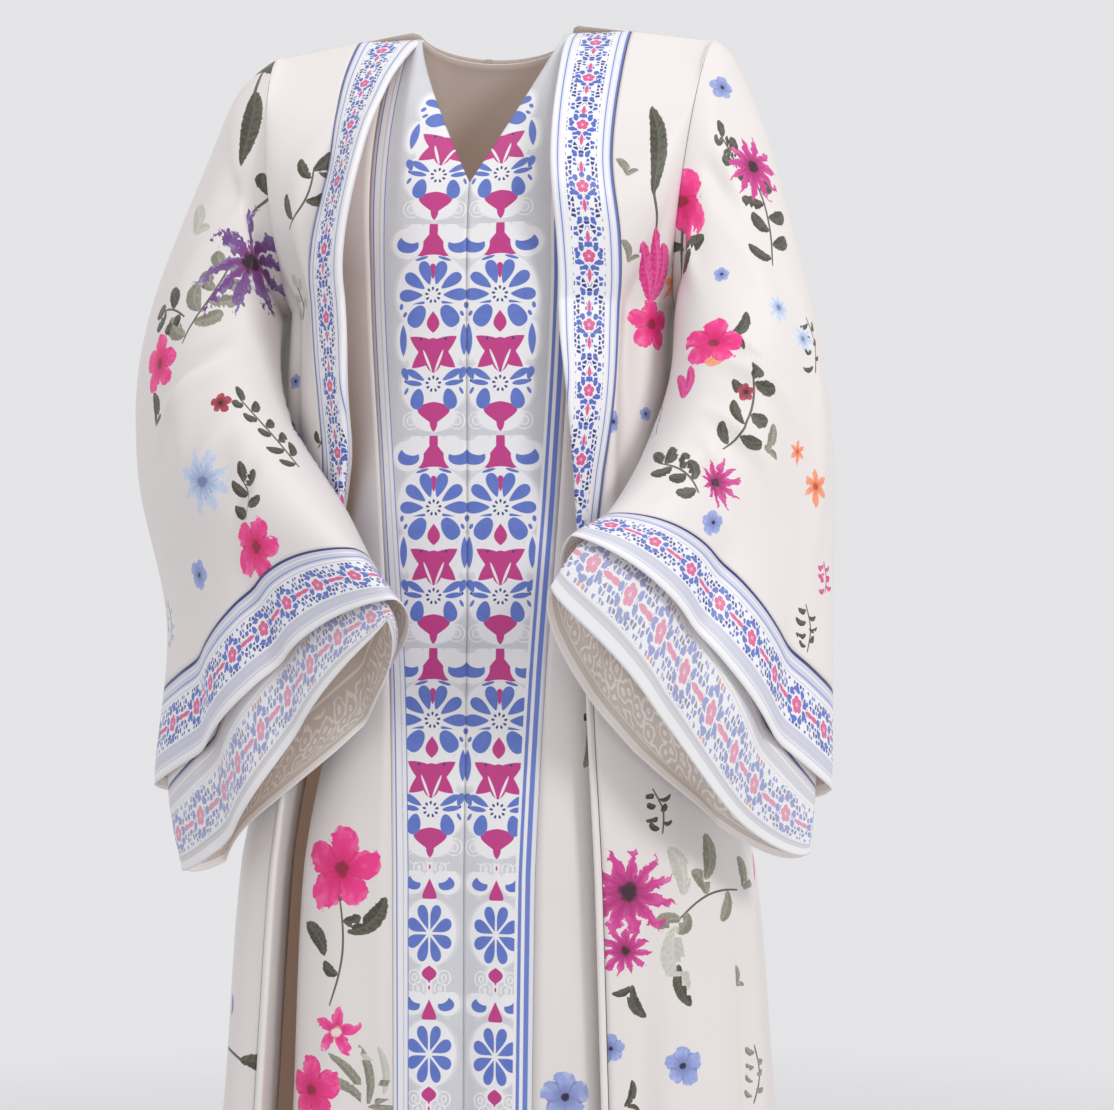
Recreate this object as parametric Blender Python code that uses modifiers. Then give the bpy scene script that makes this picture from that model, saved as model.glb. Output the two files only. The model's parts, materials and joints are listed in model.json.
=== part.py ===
# A layered abaya, worn form: an open over-robe with border bands, and under it a closed
# under-robe with a patterned front panel. Both have wide bell sleeves that end in cuffs.
# Sizes are in millimetres. +X is the wearer's left, -Y the front, +Z up, and the origin is
# midway between the two neck points of the shoulder seams, where the wearer carries it.

from collections import namedtuple
from math import atan2, cos, degrees, exp, hypot, pi, radians, sin, sqrt

import bmesh
import bpy
from mathutils import Vector

MM = 0.001
CLOTH = 1.6             # wall thickness of every cloth piece
SEAM_GAP = 0.4          # between two pieces that are sewn edge to edge
RIDGE_GAP = 2.5         # at the shoulder seam, where the walls meet at an angle
ARMHOLE_GAP = 1.6       # between a robe's armhole and its sleeve
LENGTH = 1420           # neck point to hem of the over-robe
HEM_STEP = 5            # the under-robe ends this much higher
CENTRE_GAP = 1.0        # between the two front edges of the under-robe

YOKE_ROWS = 10          # rows from the shoulder seam to the underarm
SKIRT_ROWS = 12         # rows from the underarm to the hem
FRONT_COLUMNS = 12
BACK_COLUMNS = 26
UNDER_FRONT_COLUMNS = 8
UNDER_BACK_COLUMNS = 18
SLEEVE_SIDES = 2 * YOKE_ROWS
SLEEVE_ROWS = 11        # rows from the armhole to the cuff seam
CUFF_ROWS = 3

FRONT, BACK = -1, 1     # the sign of Y on each face
RIGHT, LEFT = -1, 1     # the wearer's right and left, the sign of X

# One horizontal section of a robe. squareness 2 is an ellipse, 6 nearly a box.
Ring = namedtuple("Ring", "height right left front back squareness")
OVER_RINGS = [
    Ring(-285, 202, 183, 140, 116, 2.5),
    Ring(-380, 208, 184, 141, 114, 2.5),
    Ring(-470, 204, 182, 142, 112, 2.5),
    Ring(-640, 210, 205, 146, 122, 2.4),
    Ring(-830, 257, 257, 150, 140, 2.4),
    Ring(-1080, 280, 272, 154, 165, 2.4),
    Ring(-1420, 306, 296, 166, 192, 2.4),
]
UNDER_RINGS = [
    Ring(-262, 168, 160, 119, 104, 2.5),
    Ring(-470, 141, 138, 116, 98, 3.0),
    Ring(-640, 146, 134, 118, 102, 4.0),
    Ring(-830, 176, 142, 131, 115, 5.0),
    Ring(-1080, 187, 150, 137, 132, 5.0),
    Ring(-1420, 200, 160, 146, 150, 5.0),
]

# A soft fold that runs down a robe, placed by its bearing round the body: 0 is the centre
# front, 90 the left side seam, 180 the centre back. A fold that fades ends at its foot.
Fold = namedtuple("Fold", "head_bearing foot_bearing head foot width depth fades")
OVER_FOLDS = [
    Fold(-52, -46, -60, -480, 6, 8, True),
    Fold(-66, -62, -80, -520, 5, -6, True),
    Fold(48, 42, -60, -520, 6, 9, True),
    Fold(62, 57, -80, -560, 5, -7, True),
    Fold(-68, -68, -620, -1420, 6, 12, False),
    Fold(-82, -83, -640, -1420, 5, -10, False),
    Fold(64, 60, -640, -1420, 8, 7, False),
    Fold(84, 82, -600, -1420, 6, 12, False),
    Fold(-101, -104, -520, -1420, 7, 16, False),
    Fold(102, 106, -560, -1420, 7, 15, False),
    Fold(118, 124, -380, -1420, 8, 18, False),
    Fold(136, 141, -300, -1420, 7, 14, False),
    Fold(155, 158, -420, -1420, 8, 20, False),
    Fold(176, 178, -240, -1420, 7, 16, False),
    Fold(-160, -162, -360, -1420, 8, 18, False),
    Fold(-141, -143, -300, -1420, 7, 13, False),
    Fold(-121, -124, -460, -1420, 8, 19, False),
]
UNDER_FOLDS = [
    Fold(0, 0, -560, -1420, 5, -6, False),
    Fold(-32, -35, -640, -1420, 7, -4, False),
    Fold(112, 116, -500, -1420, 12, 12, False),
    Fold(150, 152, -400, -1420, 12, 14, False),
    Fold(-170, -168, -500, -1420, 12, 12, False),
    Fold(-130, -128, -450, -1420, 12, 14, False),
]

# The over-robe's opening: how far from the centre its band is sewn on and where the band
# ends, and how much of the band is folded under. Below the waist nearly all of it is.
Opening = namedtuple("Opening", "height right right_edge left left_edge right_under left_under")
OPENINGS = [
    Opening(0, 140, 81, 140, 81, 10, 10),
    Opening(-60, 142, 90, 140, 86, 10, 10),
    Opening(-150, 138, 100, 141, 92, 10, 10),
    Opening(-225, 149, 110, 149, 96, 10, 10),
    Opening(-313, 150, 110, 146, 100, 10, 10),
    Opening(-380, 147, 114, 139, 106, 17, 17),
    Opening(-450, 145, 121, 131, 112, 36, 36),
    Opening(-560, 152, 145, 125, 119, 61, 60),
    Opening(-640, 180, 178, 125, 123, 65, 65),
    Opening(-830, 199, 197, 136, 134, 65, 65),
    Opening(-1080, 212, 210, 144, 142, 65, 65),
    Opening(-1420, 228, 226, 154, 152, 65, 65),
]
BAND_WIDTH = 68
BAND_GAP = 1.2
ROLL = 7                # the length of band taken up by turning under
ROLL_ANGLE = {RIGHT: 140, LEFT: 174}

# Half the width of the under-robe's patterned front panel.
PanelWidth = namedtuple("PanelWidth", "height width")
PANEL_WIDTHS = [
    PanelWidth(-100, 100),
    PanelWidth(-285, 98),
    PanelWidth(-470, 88),
    PanelWidth(-640, 77),
    PanelWidth(-830, 70),
    PanelWidth(-1420, 66),
]
PANEL_COLUMNS = (0, 0.1, 0.35, 0.68, 1)

# The cut of a robe round the neck, shoulders and armholes.
Robe = namedtuple(
    "Robe",
    "rings folds top underarm hem shoulder_half shoulder_drop neck_half neck_front neck_drop"
    " neck_back back_drop armhole_depth",
)
OVER = Robe(OVER_RINGS, OVER_FOLDS, 0, -285, -LENGTH, 222, 22, 80, 104, 162, 54, 22, 75)
UNDER = Robe(
    UNDER_RINGS, UNDER_FOLDS, -8, -262, -LENGTH + HEM_STEP, 200, 28, 74, 106, 162, 46, 20, 62
)

# One section of the sleeves. The near line runs from the underarm along the top of the
# forearm to the wrist, and the far line over the shoulder and elbow to the hanging tip. The
# front and back layers stand off the straight line between the two, and hang below it.
Section = namedtuple(
    "Section", "near_x near_y near_z far_x far_y far_z front back front_hang back_hang"
)
SLEEVES = {
    RIGHT: [
        Section(-210, -4, -292, -264, 0, -56, 76, 76, 0, 0),
        Section(-204, -36, -316, -298, 0, -126, 78, 80, 0, 0),
        Section(-183, -100, -388, -356, 5, -290, 80, 88, 0, 0),
        Section(-142, -160, -455, -368, 0, -439, 66, 84, 0, 0),
        Section(-93, -205, -512, -330, -30, -598, 46, 76, 0, 10),
        Section(-34, -246, -568, -328, -80, -757, 26, 70, -4, 26),
        Section(-35, -254, -578, -311, -81, -851, 24, 70, 18, 36),
    ],
    LEFT: [
        Section(191, -4, -292, 244, 0, -46, 76, 76, 0, 0),
        Section(190, -32, -315, 280, 0, -138, 78, 80, 0, 0),
        Section(188, -100, -388, 317, 5, -297, 80, 88, 0, 0),
        Section(182, -160, -443, 334, 0, -439, 66, 84, 0, 0),
        Section(158, -205, -486, 338, -30, -594, 50, 80, 0, 20),
        Section(128, -246, -510, 344, -80, -749, 36, 76, 0, 40),
        Section(104, -256, -547, 338, -82, -821, 34, 76, 22, 54),
    ],
}
# The under-sleeve lies inside the over-sleeve by this much at each section of the table.
NEAR_INSETS = (32, 30, 20, 12, 12, 12, 12)
FAR_INSET = 22
DEPTH_INSET = 13
# Where the cuff is sewn on at the near and far lines and where it ends. 0 is the armhole,
# 1 the first section of the table and so on.
Cuff = namedtuple("Cuff", "near far hem")
OVER_CUFF = Cuff(5.15, 5.4, 6)
UNDER_CUFF = Cuff(5.35, 6.1, 7)
CUFF_GAP = 0.004
WAVE = 13               # the front layer's hem swings this far up, then down
SLEEVE_LEAN = 0.3       # how much flatter a sleeve is at its far line than at its near line
ARM_CLEARANCE = 10      # between a robe's body and the over-sleeve that lies against it
LAYER_CLEARANCE = 17    # and the under-sleeve, which lies inside the over-sleeve

# A fold or crease in a sleeve: face is its side, reach 0 the near line and 1 the far line.
SleeveFold = namedtuple("SleeveFold", "face head_reach foot_reach head foot width depth fades")
SLEEVE_FOLDS = [
    SleeveFold(FRONT, 0.30, 0.58, 2.7, 4.7, 0.08, 8, True),
    SleeveFold(FRONT, 0.14, 0.36, 3.1, 5.0, 0.07, -6, True),
    SleeveFold(FRONT, 0.72, 0.60, 1.5, 3.5, 0.09, 6, True),
    SleeveFold(FRONT, 0.55, 0.60, 4.5, 6.0, 0.11, 10, False),
    SleeveFold(BACK, 0.35, 0.55, 2.0, 4.5, 0.10, 8, True),
    SleeveFold(BACK, 0.65, 0.72, 3.2, 6.0, 0.10, 8, False),
]


def mix(a, b, share):
    return a + (b - a) * share


def ease(share):
    share = min(1.0, max(0.0, share))
    return share * share * (3 - 2 * share)


def smooth_row(rows, position):
    """The row at a fractional position in a table, on a smooth curve through its rows."""
    i = min(int(position), len(rows) - 2)
    t = position - i
    before = rows[max(i - 1, 0)]
    a, b = rows[i], rows[i + 1]
    after = rows[min(i + 2, len(rows) - 1)]
    values = []
    for p, q, r, s in zip(before, a, b, after):
        rise = (s - q) / 2
        fall = (r - p) / 2
        values.append(
            q + t * (fall + t * (3 * (r - q) - 2 * fall - rise + t * (2 * (q - r) + fall + rise)))
        )
    return type(a)(*values)


def row_at(rows, height):
    """The row of a table at a height, smoothly between the rows that are listed."""
    if height >= rows[0].height:
        return rows[0]
    for i in range(len(rows) - 1):
        if height >= rows[i + 1].height:
            share = (height - rows[i].height) / (rows[i + 1].height - rows[i].height)
            return smooth_row(rows, i + share)
    return rows[-1]


def top_point(robe, face, column):
    """A point of the neck edge and shoulder seam. column is 0 at the centre, 1 at the armhole."""
    x = robe.shoulder_half * sin(pi / 2 * column)
    if x >= robe.neck_half:
        slope = (x - robe.neck_half) / (robe.shoulder_half - robe.neck_half)
        return x, 0.0, robe.top - robe.shoulder_drop * slope
    share = x / robe.neck_half
    if face == FRONT:  # a V neck
        y = -robe.neck_front * (1 - share) ** 0.6
        return x, y, robe.top - robe.neck_drop * (1 - share) ** 0.85
    dip = sqrt(1 - share * share)
    return x, robe.neck_back * dip, robe.top - robe.back_drop * dip


def ring_point(robe, side, face, column, height):
    """A point of the horizontal section at a height, with no folds."""
    ring = row_at(robe.rings, height)
    half = ring.right if side == RIGHT else ring.left
    depth = ring.front if face == FRONT else ring.back
    power = 2 / ring.squareness
    x = half * max(0.0, sin(pi / 2 * column)) ** power
    return x, face * depth * max(0.0, cos(pi / 2 * column)) ** power


def plain_point(robe, side, face, column, down):
    """A point of the robe's body with no folds. down is 0 at the top edge, 1 at the underarm
    and 2 at the hem."""
    column = min(1.0, max(0.0, column))
    if down >= 1:
        height = mix(robe.underarm, robe.hem, down - 1)
        x, y = ring_point(robe, side, face, column, height)
        return side * x, y, height
    fall = (1 - cos(pi * down)) / 2
    top_x, top_y, top_z = top_point(robe, face, column)
    flat_x, flat_y = ring_point(robe, side, face, column, robe.underarm)
    settled = sin(pi / 2 * fall) ** 0.7
    bulge = sin(pi * down) ** (1 + 4 * (1 - column))  # round at the armhole, softer inwards
    armhole = face * robe.armhole_depth * bulge * column**1.5
    y = armhole + mix(top_y, flat_y, settled)
    return side * mix(top_x, flat_x, fall), y, mix(top_z, robe.underarm, fall)


def fold_depth(robe, x, y, height):
    """How far the folds push the cloth outwards at a point."""
    bearing = degrees(atan2(x, -y))
    total = 0.0
    for fold in robe.folds:
        run = (height - fold.head) / (fold.foot - fold.head)
        if run <= 0 or (fold.fades and run >= 1):
            continue
        strength = sin(pi * run) ** 2 if fold.fades else ease(run * 1.3)
        off = abs(bearing - mix(fold.head_bearing, fold.foot_bearing, min(run, 1)))
        off = min(off, 360 - off)
        total += fold.depth * strength * exp(-((off / fold.width) ** 2))
    return total


def body_point(robe, side, face, column, down):
    """A point of the robe's body, folds included, kept clear of the seam at its edge."""
    x, y, z = plain_point(robe, side, face, column, down)
    step = 0.01
    ax, ay, _ = plain_point(robe, side, face, column - step, down)
    bx, by, _ = plain_point(robe, side, face, column + step, down)
    out_x, out_y = (by - ay) * face * -side, (bx - ax) * face * side
    size = max(hypot(out_x, out_y), 1e-6)
    if out_x * x + out_y * y < 0:
        size = -size
    held = column**8 * (1 - ease(4 * (down - 1)))  # no fold at the armhole
    push = fold_depth(robe, x, y, z) * (1 - held)
    x += push * out_x / size
    y += push * out_y / size
    gap = mix(RIDGE_GAP, SEAM_GAP, min(1, 8 * down)) / 2
    return x, face * max(face * y, gap), z


def column_at(robe, side, face, x, down):
    """The column whose plain point lies this far from the centre plane."""
    low, high = 0.0, 1.0
    for _ in range(30):
        middle = (low + high) / 2
        if abs(plain_point(robe, side, face, middle, down)[0]) < x:
            low = middle
        else:
            high = middle
    return (low + high) / 2


def height_of(robe, down):
    """Roughly how high a row lies at the chest, to read the tables of widths."""
    return plain_point(robe, RIGHT, FRONT, 0.5, down)[2]


def downs():
    """Every row from the top edge to the hem."""
    yoke = [row / YOKE_ROWS for row in range(YOKE_ROWS)]
    return yoke + [1 + row / SKIRT_ROWS for row in range(SKIRT_ROWS + 1)]


def shares(count):
    return [i / count for i in range(count + 1)]


def over_front_row(side, down):
    opening = row_at(OPENINGS, height_of(OVER, down))
    seam = opening.right if side == RIGHT else opening.left
    start = column_at(OVER, side, FRONT, seam, down)
    columns = [mix(start, 1, share) for share in shares(FRONT_COLUMNS)]
    return [body_point(OVER, side, FRONT, column, down) for column in columns]


def band_row(side, down):
    """From its seam the band runs forward to its edge, where the rest of it turns under."""
    opening = row_at(OPENINGS, height_of(OVER, down))
    seam, edge, under = opening[1], opening[2], opening[5]
    if side == LEFT:
        seam, edge, under = opening[3], opening[4], opening[6]
    shows = BAND_WIDTH - under
    inwards = seam - edge
    start = column_at(OVER, side, FRONT, seam, down)
    x, y, _ = body_point(OVER, side, FRONT, start, down)
    inner_x, inner_y, _ = body_point(OVER, side, FRONT, start + 0.02, down)
    arriving = atan2(y - inner_y, (x - inner_x) * -side)
    heading = -atan2(sqrt(max(shows**2 - inwards**2, 1)), inwards)
    tucked = (under - ROLL) / 2
    strides = [shows / 2, shows / 2, ROLL / 2, ROLL / 2, tucked, tucked]
    turns = [0, 0, 0.35, 0.75, 1, 1]
    x -= side * BAND_GAP * cos((arriving + heading) / 2)
    y += BAND_GAP * sin((arriving + heading) / 2)
    roll = radians(ROLL_ANGLE[side]) * min(1, 0.4 + 2 * down)  # flatter on the shoulder
    row = [(x, y)]
    for stride, share in zip(strides, turns):
        angle = heading + roll * share
        x -= side * stride * cos(angle)
        y += stride * sin(angle)
        row.append((x, y))
    height = plain_point(OVER, side, FRONT, start, down)[2]
    return [(x, y, height) for x, y in row]


def back_row(robe, down, count):
    row = []
    for share in shares(count):
        across = 2 * share - 1
        side = LEFT if across > 0 else RIGHT
        row.append(body_point(robe, side, BACK, abs(across), down))
    return row


def panel_row(side, down):
    width = row_at(PANEL_WIDTHS, height_of(UNDER, down)).width - SEAM_GAP / 2
    edges = [mix(CENTRE_GAP / 2, width, share) for share in PANEL_COLUMNS]
    columns = [column_at(UNDER, side, FRONT, x, down) for x in edges]
    row = [body_point(UNDER, side, FRONT, column, down) for column in columns]
    _, y, z = row[0]
    row[0] = (side * CENTRE_GAP / 2, y, z)
    return row


def under_front_row(side, down):
    width = row_at(PANEL_WIDTHS, height_of(UNDER, down)).width
    start = column_at(UNDER, side, FRONT, width + SEAM_GAP / 2, down)
    columns = [mix(start, 1, share) for share in shares(UNDER_FRONT_COLUMNS)]
    return [body_point(UNDER, side, FRONT, column, down) for column in columns]


def clear_of_body(point, clearance):
    """A sleeve lies against the robe's body: a point that would be inside it is moved out."""
    x, y, z = point
    if z > OVER.underarm:
        return point
    ring = row_at(OVER_RINGS, z)
    clearance += max(0, fold_depth(OVER, x, y, z))
    half = (ring.right if x < 0 else ring.left) + clearance
    depth = (ring.front if y < 0 else ring.back) + clearance
    inside = (abs(x) / half) ** ring.squareness + (abs(y) / depth) ** ring.squareness
    if inside >= 1:
        return point
    grow = inside ** (-1 / ring.squareness)
    return Vector((x * grow, y * grow, z))


def armhole(robe, side):
    """The first section of a sleeve, just outside the edge of the robe's armhole."""
    ring = row_at(robe.rings, robe.underarm)
    near = side * ((ring.right if side == RIGHT else ring.left) + ARMHOLE_GAP)
    far = side * (robe.shoulder_half + ARMHOLE_GAP)
    depth = robe.armhole_depth
    top = robe.top - robe.shoulder_drop
    return Section(near, 0, robe.underarm, far, 0, top, depth, depth, 0, 0)


def inset(section, near_inset):
    """The under-sleeve's section inside the over-sleeve's."""
    near, far = Vector(section[0:3]), Vector(section[3:6])
    across = (far - near).normalized()
    near += across * near_inset
    far -= across * FAR_INSET
    return Section(*near, *far, *section[6:])


def sleeve_frame(sections, along):
    """The section of a sleeve at a row, with its run and its front-to-back direction."""
    s = smooth_row(sections, along)
    near, far = Vector(s[0:3]), Vector(s[3:6])
    a = smooth_row(sections, max(0, along - 0.3))
    b = smooth_row(sections, min(len(sections) - 1, along + 0.3))
    run = (Vector(b[0:3]) + Vector(b[3:6]) - Vector(a[0:3]) - Vector(a[3:6])).normalized()
    through = run.cross(near - far).normalized()
    if through.y < 0:
        through.negate()
    backwards = Vector((0, 1, 0)).lerp(through, ease((along - 0.8) / 2.4)).normalized()
    return s, near, far, run, backwards


def sleeve_fold_depth(face, reach, along):
    total = 0.0
    for fold in SLEEVE_FOLDS:
        run = (along - fold.head) / (fold.foot - fold.head)
        if fold.face != face or run <= 0 or (fold.fades and run >= 1):
            continue
        strength = sin(pi * run) ** 2 if fold.fades else ease(run)
        off = (reach - mix(fold.head_reach, fold.foot_reach, min(run, 1))) / fold.width
        total += fold.depth * strength * exp(-off * off)
    return total


def sleeve_point(sections, around, along, inside):
    """A point of a sleeve. around goes from the near line over the front to the far line
    and back, in radians; along counts sections, 0 at the armhole."""
    section, near, far, run, backwards = sleeve_frame(sections, along)
    reach = (1 - cos(around)) / 2
    face = FRONT if sin(around) >= 0 else BACK
    depth, hang = section.front, section.front_hang
    if face == BACK:
        depth, hang = section.back, section.back_hang
    round_out = abs(sin(around)) * (1 - SLEEVE_LEAN * reach * ease(along / 3))
    out = round_out * (depth + sleeve_fold_depth(face, reach, along))
    out -= min(out / 2, inside * ease(along) * abs(sin(around)) ** 0.4 * (1 - 0.8 * reach**2))
    down = hang * abs(sin(around))
    if face == FRONT:
        down -= WAVE * sin(2 * pi * reach) * ease((along - 3.5) / 2)
    point = near.lerp(far, reach) + backwards * face * out + run * down
    return clear_of_body(point, LAYER_CLEARANCE if inside else ARM_CLEARANCE)


def sleeve_rows(sections, starts, ends, count, inside):
    """Rows of a tube between two edges, each given at the near and the far line."""
    rows = []
    for share in shares(count):
        row = []
        for i in range(SLEEVE_SIDES):
            angle = 2 * pi * i / SLEEVE_SIDES
            reach = (1 - cos(angle)) / 2
            along = mix(mix(*starts, reach), mix(*ends, reach), share)
            row.append(sleeve_point(sections, angle, along, inside))
        rows.append(row)
    return rows


def cloth_material(name, colour, roughness):
    material = bpy.data.materials.new(name)
    material.use_nodes = True
    shader = material.node_tree.nodes["Principled BSDF"]
    shader.inputs["Base Color"].default_value = (*colour, 1)
    shader.inputs["Roughness"].default_value = roughness
    shader.inputs["Metallic"].default_value = 0
    return material


def cloth_piece(name, rows, material, closed=False, flip=False):
    """A wall of cloth through rows of points in millimetres. A closed piece is a tube."""
    mesh = bpy.data.meshes.new(name)
    shape = bmesh.new()
    grid = [[shape.verts.new(Vector(p) * MM) for p in row] for row in rows]
    width = len(grid[0])
    for upper, lower in zip(grid, grid[1:]):
        for i in range(width if closed else width - 1):
            j = (i + 1) % width
            corners = [upper[i], upper[j], lower[j], lower[i]]
            shape.faces.new(corners[::-1] if flip else corners)
    shape.to_mesh(mesh)
    shape.free()
    mesh.shade_smooth()
    mesh.materials.append(material)
    piece = bpy.data.objects.new(name, mesh)
    bpy.data.collections["abaya"].objects.link(piece)
    wall = piece.modifiers.new("wall", "SOLIDIFY")
    wall.thickness = CLOTH * MM
    wall.offset = 0
    return piece


def build_bodies(printed, border, ornament):
    rows = downs()
    cloth_piece("over_back", [back_row(OVER, d, BACK_COLUMNS) for d in rows], printed)
    cloth_piece("under_back", [back_row(UNDER, d, UNDER_BACK_COLUMNS) for d in rows], printed)
    for side, word in ((RIGHT, "right"), (LEFT, "left")):
        turned = side == LEFT
        fronts = [over_front_row(side, d) for d in rows]
        cloth_piece(f"over_front_{word}", fronts, printed, flip=turned)
        bands = [band_row(side, d) for d in rows]
        cloth_piece(f"over_band_{word}", bands, border, flip=not turned)
        fronts = [under_front_row(side, d) for d in rows]
        cloth_piece(f"under_front_{word}", fronts, printed, flip=turned)
        panels = [panel_row(side, d) for d in rows]
        cloth_piece(f"under_panel_{word}", panels, ornament, flip=turned)


def build_sleeves(printed, border):
    for side, word in ((RIGHT, "right"), (LEFT, "left")):
        over = [armhole(OVER, side)] + SLEEVES[side]
        under = [armhole(UNDER, side)]
        under += [inset(section, depth) for section, depth in zip(SLEEVES[side], NEAR_INSETS)]
        turned = side == LEFT
        for layer, sections, cuff, inside in (
            ("over", over, OVER_CUFF, 0),
            ("under", under, UNDER_CUFF, DEPTH_INSET),
        ):
            ends = cuff.near - CUFF_GAP, cuff.far - CUFF_GAP
            rows = sleeve_rows(sections, (0, 0), ends, SLEEVE_ROWS, inside)
            cloth_piece(f"{layer}_sleeve_{word}", rows, printed, closed=True, flip=turned)
            starts = cuff.near + CUFF_GAP, cuff.far + CUFF_GAP
            ends = cuff.hem, cuff.hem
            rows = sleeve_rows(sections, starts, ends, CUFF_ROWS, inside)
            cloth_piece(f"{layer}_cuff_{word}", rows, border, closed=True, flip=turned)


def main():
    for thing in list(bpy.data.objects):
        bpy.data.objects.remove(thing, do_unlink=True)
    bpy.context.scene.collection.children.link(bpy.data.collections.new("abaya"))
    printed = cloth_material("printed_satin", (0.75, 0.71, 0.69), 0.5)
    border = cloth_material("border_band", (0.66, 0.67, 0.78), 0.5)
    ornament = cloth_material("ornament_panel", (0.58, 0.58, 0.62), 0.5)
    build_bodies(printed, border, ornament)
    build_sleeves(printed, border)


main()
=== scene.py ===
# Looks of the layered abaya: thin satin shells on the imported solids, with creases and print.
# Form sizes are in millimetres, as in the solids' own script, and meshes in metres.
import json
import random
from collections import namedtuple
from math import atan2, cos, degrees, exp, hypot, pi, radians, sin, sqrt

import bpy
import numpy as np
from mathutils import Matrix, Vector
from mathutils.bvhtree import BVHTree

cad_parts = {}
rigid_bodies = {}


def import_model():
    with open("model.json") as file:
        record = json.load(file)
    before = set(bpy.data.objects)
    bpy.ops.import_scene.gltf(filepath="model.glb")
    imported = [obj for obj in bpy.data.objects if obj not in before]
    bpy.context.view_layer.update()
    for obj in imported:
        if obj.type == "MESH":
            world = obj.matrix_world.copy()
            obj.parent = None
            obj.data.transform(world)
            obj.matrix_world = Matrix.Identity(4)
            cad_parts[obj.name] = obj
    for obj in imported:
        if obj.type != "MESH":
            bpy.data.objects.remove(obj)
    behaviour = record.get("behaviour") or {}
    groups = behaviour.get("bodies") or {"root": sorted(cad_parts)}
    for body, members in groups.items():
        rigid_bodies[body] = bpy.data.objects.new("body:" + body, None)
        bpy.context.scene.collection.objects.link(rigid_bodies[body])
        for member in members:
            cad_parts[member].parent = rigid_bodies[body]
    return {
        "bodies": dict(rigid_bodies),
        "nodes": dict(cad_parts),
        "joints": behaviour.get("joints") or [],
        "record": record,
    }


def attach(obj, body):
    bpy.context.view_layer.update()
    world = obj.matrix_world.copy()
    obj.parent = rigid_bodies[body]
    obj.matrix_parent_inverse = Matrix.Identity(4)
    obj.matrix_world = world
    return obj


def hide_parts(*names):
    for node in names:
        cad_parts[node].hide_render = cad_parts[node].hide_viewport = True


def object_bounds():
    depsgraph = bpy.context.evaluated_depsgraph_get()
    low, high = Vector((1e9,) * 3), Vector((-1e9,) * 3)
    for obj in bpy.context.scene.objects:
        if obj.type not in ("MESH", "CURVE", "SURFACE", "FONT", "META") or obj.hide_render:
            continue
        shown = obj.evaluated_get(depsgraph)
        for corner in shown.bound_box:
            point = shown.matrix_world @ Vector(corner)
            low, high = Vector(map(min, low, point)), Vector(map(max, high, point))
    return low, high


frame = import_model()
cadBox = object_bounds()
print("frame loaded")

photo = {"width": 1114, "height": 1110, "azimuth": 12, "distance": 2.63, "level": -0.527, "side": 0.062}
shell = {"thickness": 0.001, "seamGap": 0.4, "ridgeGap": 1.4, "armholeGap": 0.8, "centreGap": 0.4}
frontFace, backFace = -1, 1     # the sign of y
rightSide, leftSide = -1, 1     # the wearer's right and left, the sign of x

# One horizontal section of a robe. squareness 2 is an ellipse, 6 nearly a box.
Ring = namedtuple("Ring", "height right left front back squareness")
overRings = [
    Ring(-285, 202, 183, 140, 116, 2.5),
    Ring(-380, 208, 184, 141, 114, 2.5),
    Ring(-470, 204, 182, 142, 112, 2.5),
    Ring(-640, 210, 205, 146, 122, 2.4),
    Ring(-830, 257, 257, 150, 140, 2.4),
    Ring(-1080, 280, 272, 154, 165, 2.4),
    Ring(-1420, 306, 296, 166, 192, 2.4),
]
underRings = [
    Ring(-262, 168, 160, 119, 104, 2.5),
    Ring(-470, 141, 138, 116, 98, 3.0),
    Ring(-640, 146, 134, 118, 102, 4.0),
    Ring(-830, 176, 142, 131, 115, 5.0),
    Ring(-1080, 187, 150, 137, 132, 5.0),
    Ring(-1420, 200, 160, 146, 150, 5.0),
]

# A soft fold that runs down a robe, placed by its bearing round the body: 0 is the centre
# front, 90 the left side seam, 180 the centre back. A fold that fades ends at its foot.
Fold = namedtuple("Fold", "headBearing footBearing head foot width depth fades")
overFolds = [
    Fold(-52, -46, -60, -480, 6, 8, True),
    Fold(-66, -62, -80, -520, 5, -6, True),
    Fold(48, 42, -60, -520, 6, 9, True),
    Fold(62, 57, -80, -560, 5, -7, True),
    Fold(-68, -68, -620, -1420, 6, 12, False),
    Fold(-82, -83, -640, -1420, 5, -10, False),
    Fold(64, 60, -640, -1420, 8, 7, False),
    Fold(84, 82, -600, -1420, 6, 12, False),
    Fold(-101, -104, -520, -1420, 7, 16, False),
    Fold(102, 106, -560, -1420, 7, 15, False),
    Fold(118, 124, -380, -1420, 8, 18, False),
    Fold(136, 141, -300, -1420, 7, 14, False),
    Fold(155, 158, -420, -1420, 8, 20, False),
    Fold(176, 178, -240, -1420, 7, 16, False),
    Fold(-160, -162, -360, -1420, 8, 18, False),
    Fold(-141, -143, -300, -1420, 7, 13, False),
    Fold(-121, -124, -460, -1420, 8, 19, False),
    # finer creases
    Fold(-58, -51, -40, -430, 3.5, 8, True),
    Fold(-76, -62, -110, -560, 3, -7, True),
    Fold(42, 38, -110, -470, 3, 6, True),
    Fold(72, 54, -60, -480, 3.5, -9, True),
    Fold(54, 50, -220, -620, 3, 8, True),
    Fold(-60, -56, -720, -1420, 3, 7, False),
    Fold(-75, -74, -760, -1420, 2.5, -8, False),
    Fold(56, 52, -700, -1420, 3, -8, False),
    Fold(71, 69, -740, -1420, 3, 8, False),
    Fold(78, 77, -720, -1420, 2, -8, False),
    Fold(128, 131, -260, -1420, 3, 5, False),
    Fold(167, 170, -160, -900, 3, 4, True),
    Fold(-150, -149, -300, -1420, 3, -5, False),
    Fold(-111, -113, -420, -1420, 3, -5, False),
    Fold(-172, -170, -120, -760, 3, -4, True),
]
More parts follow.
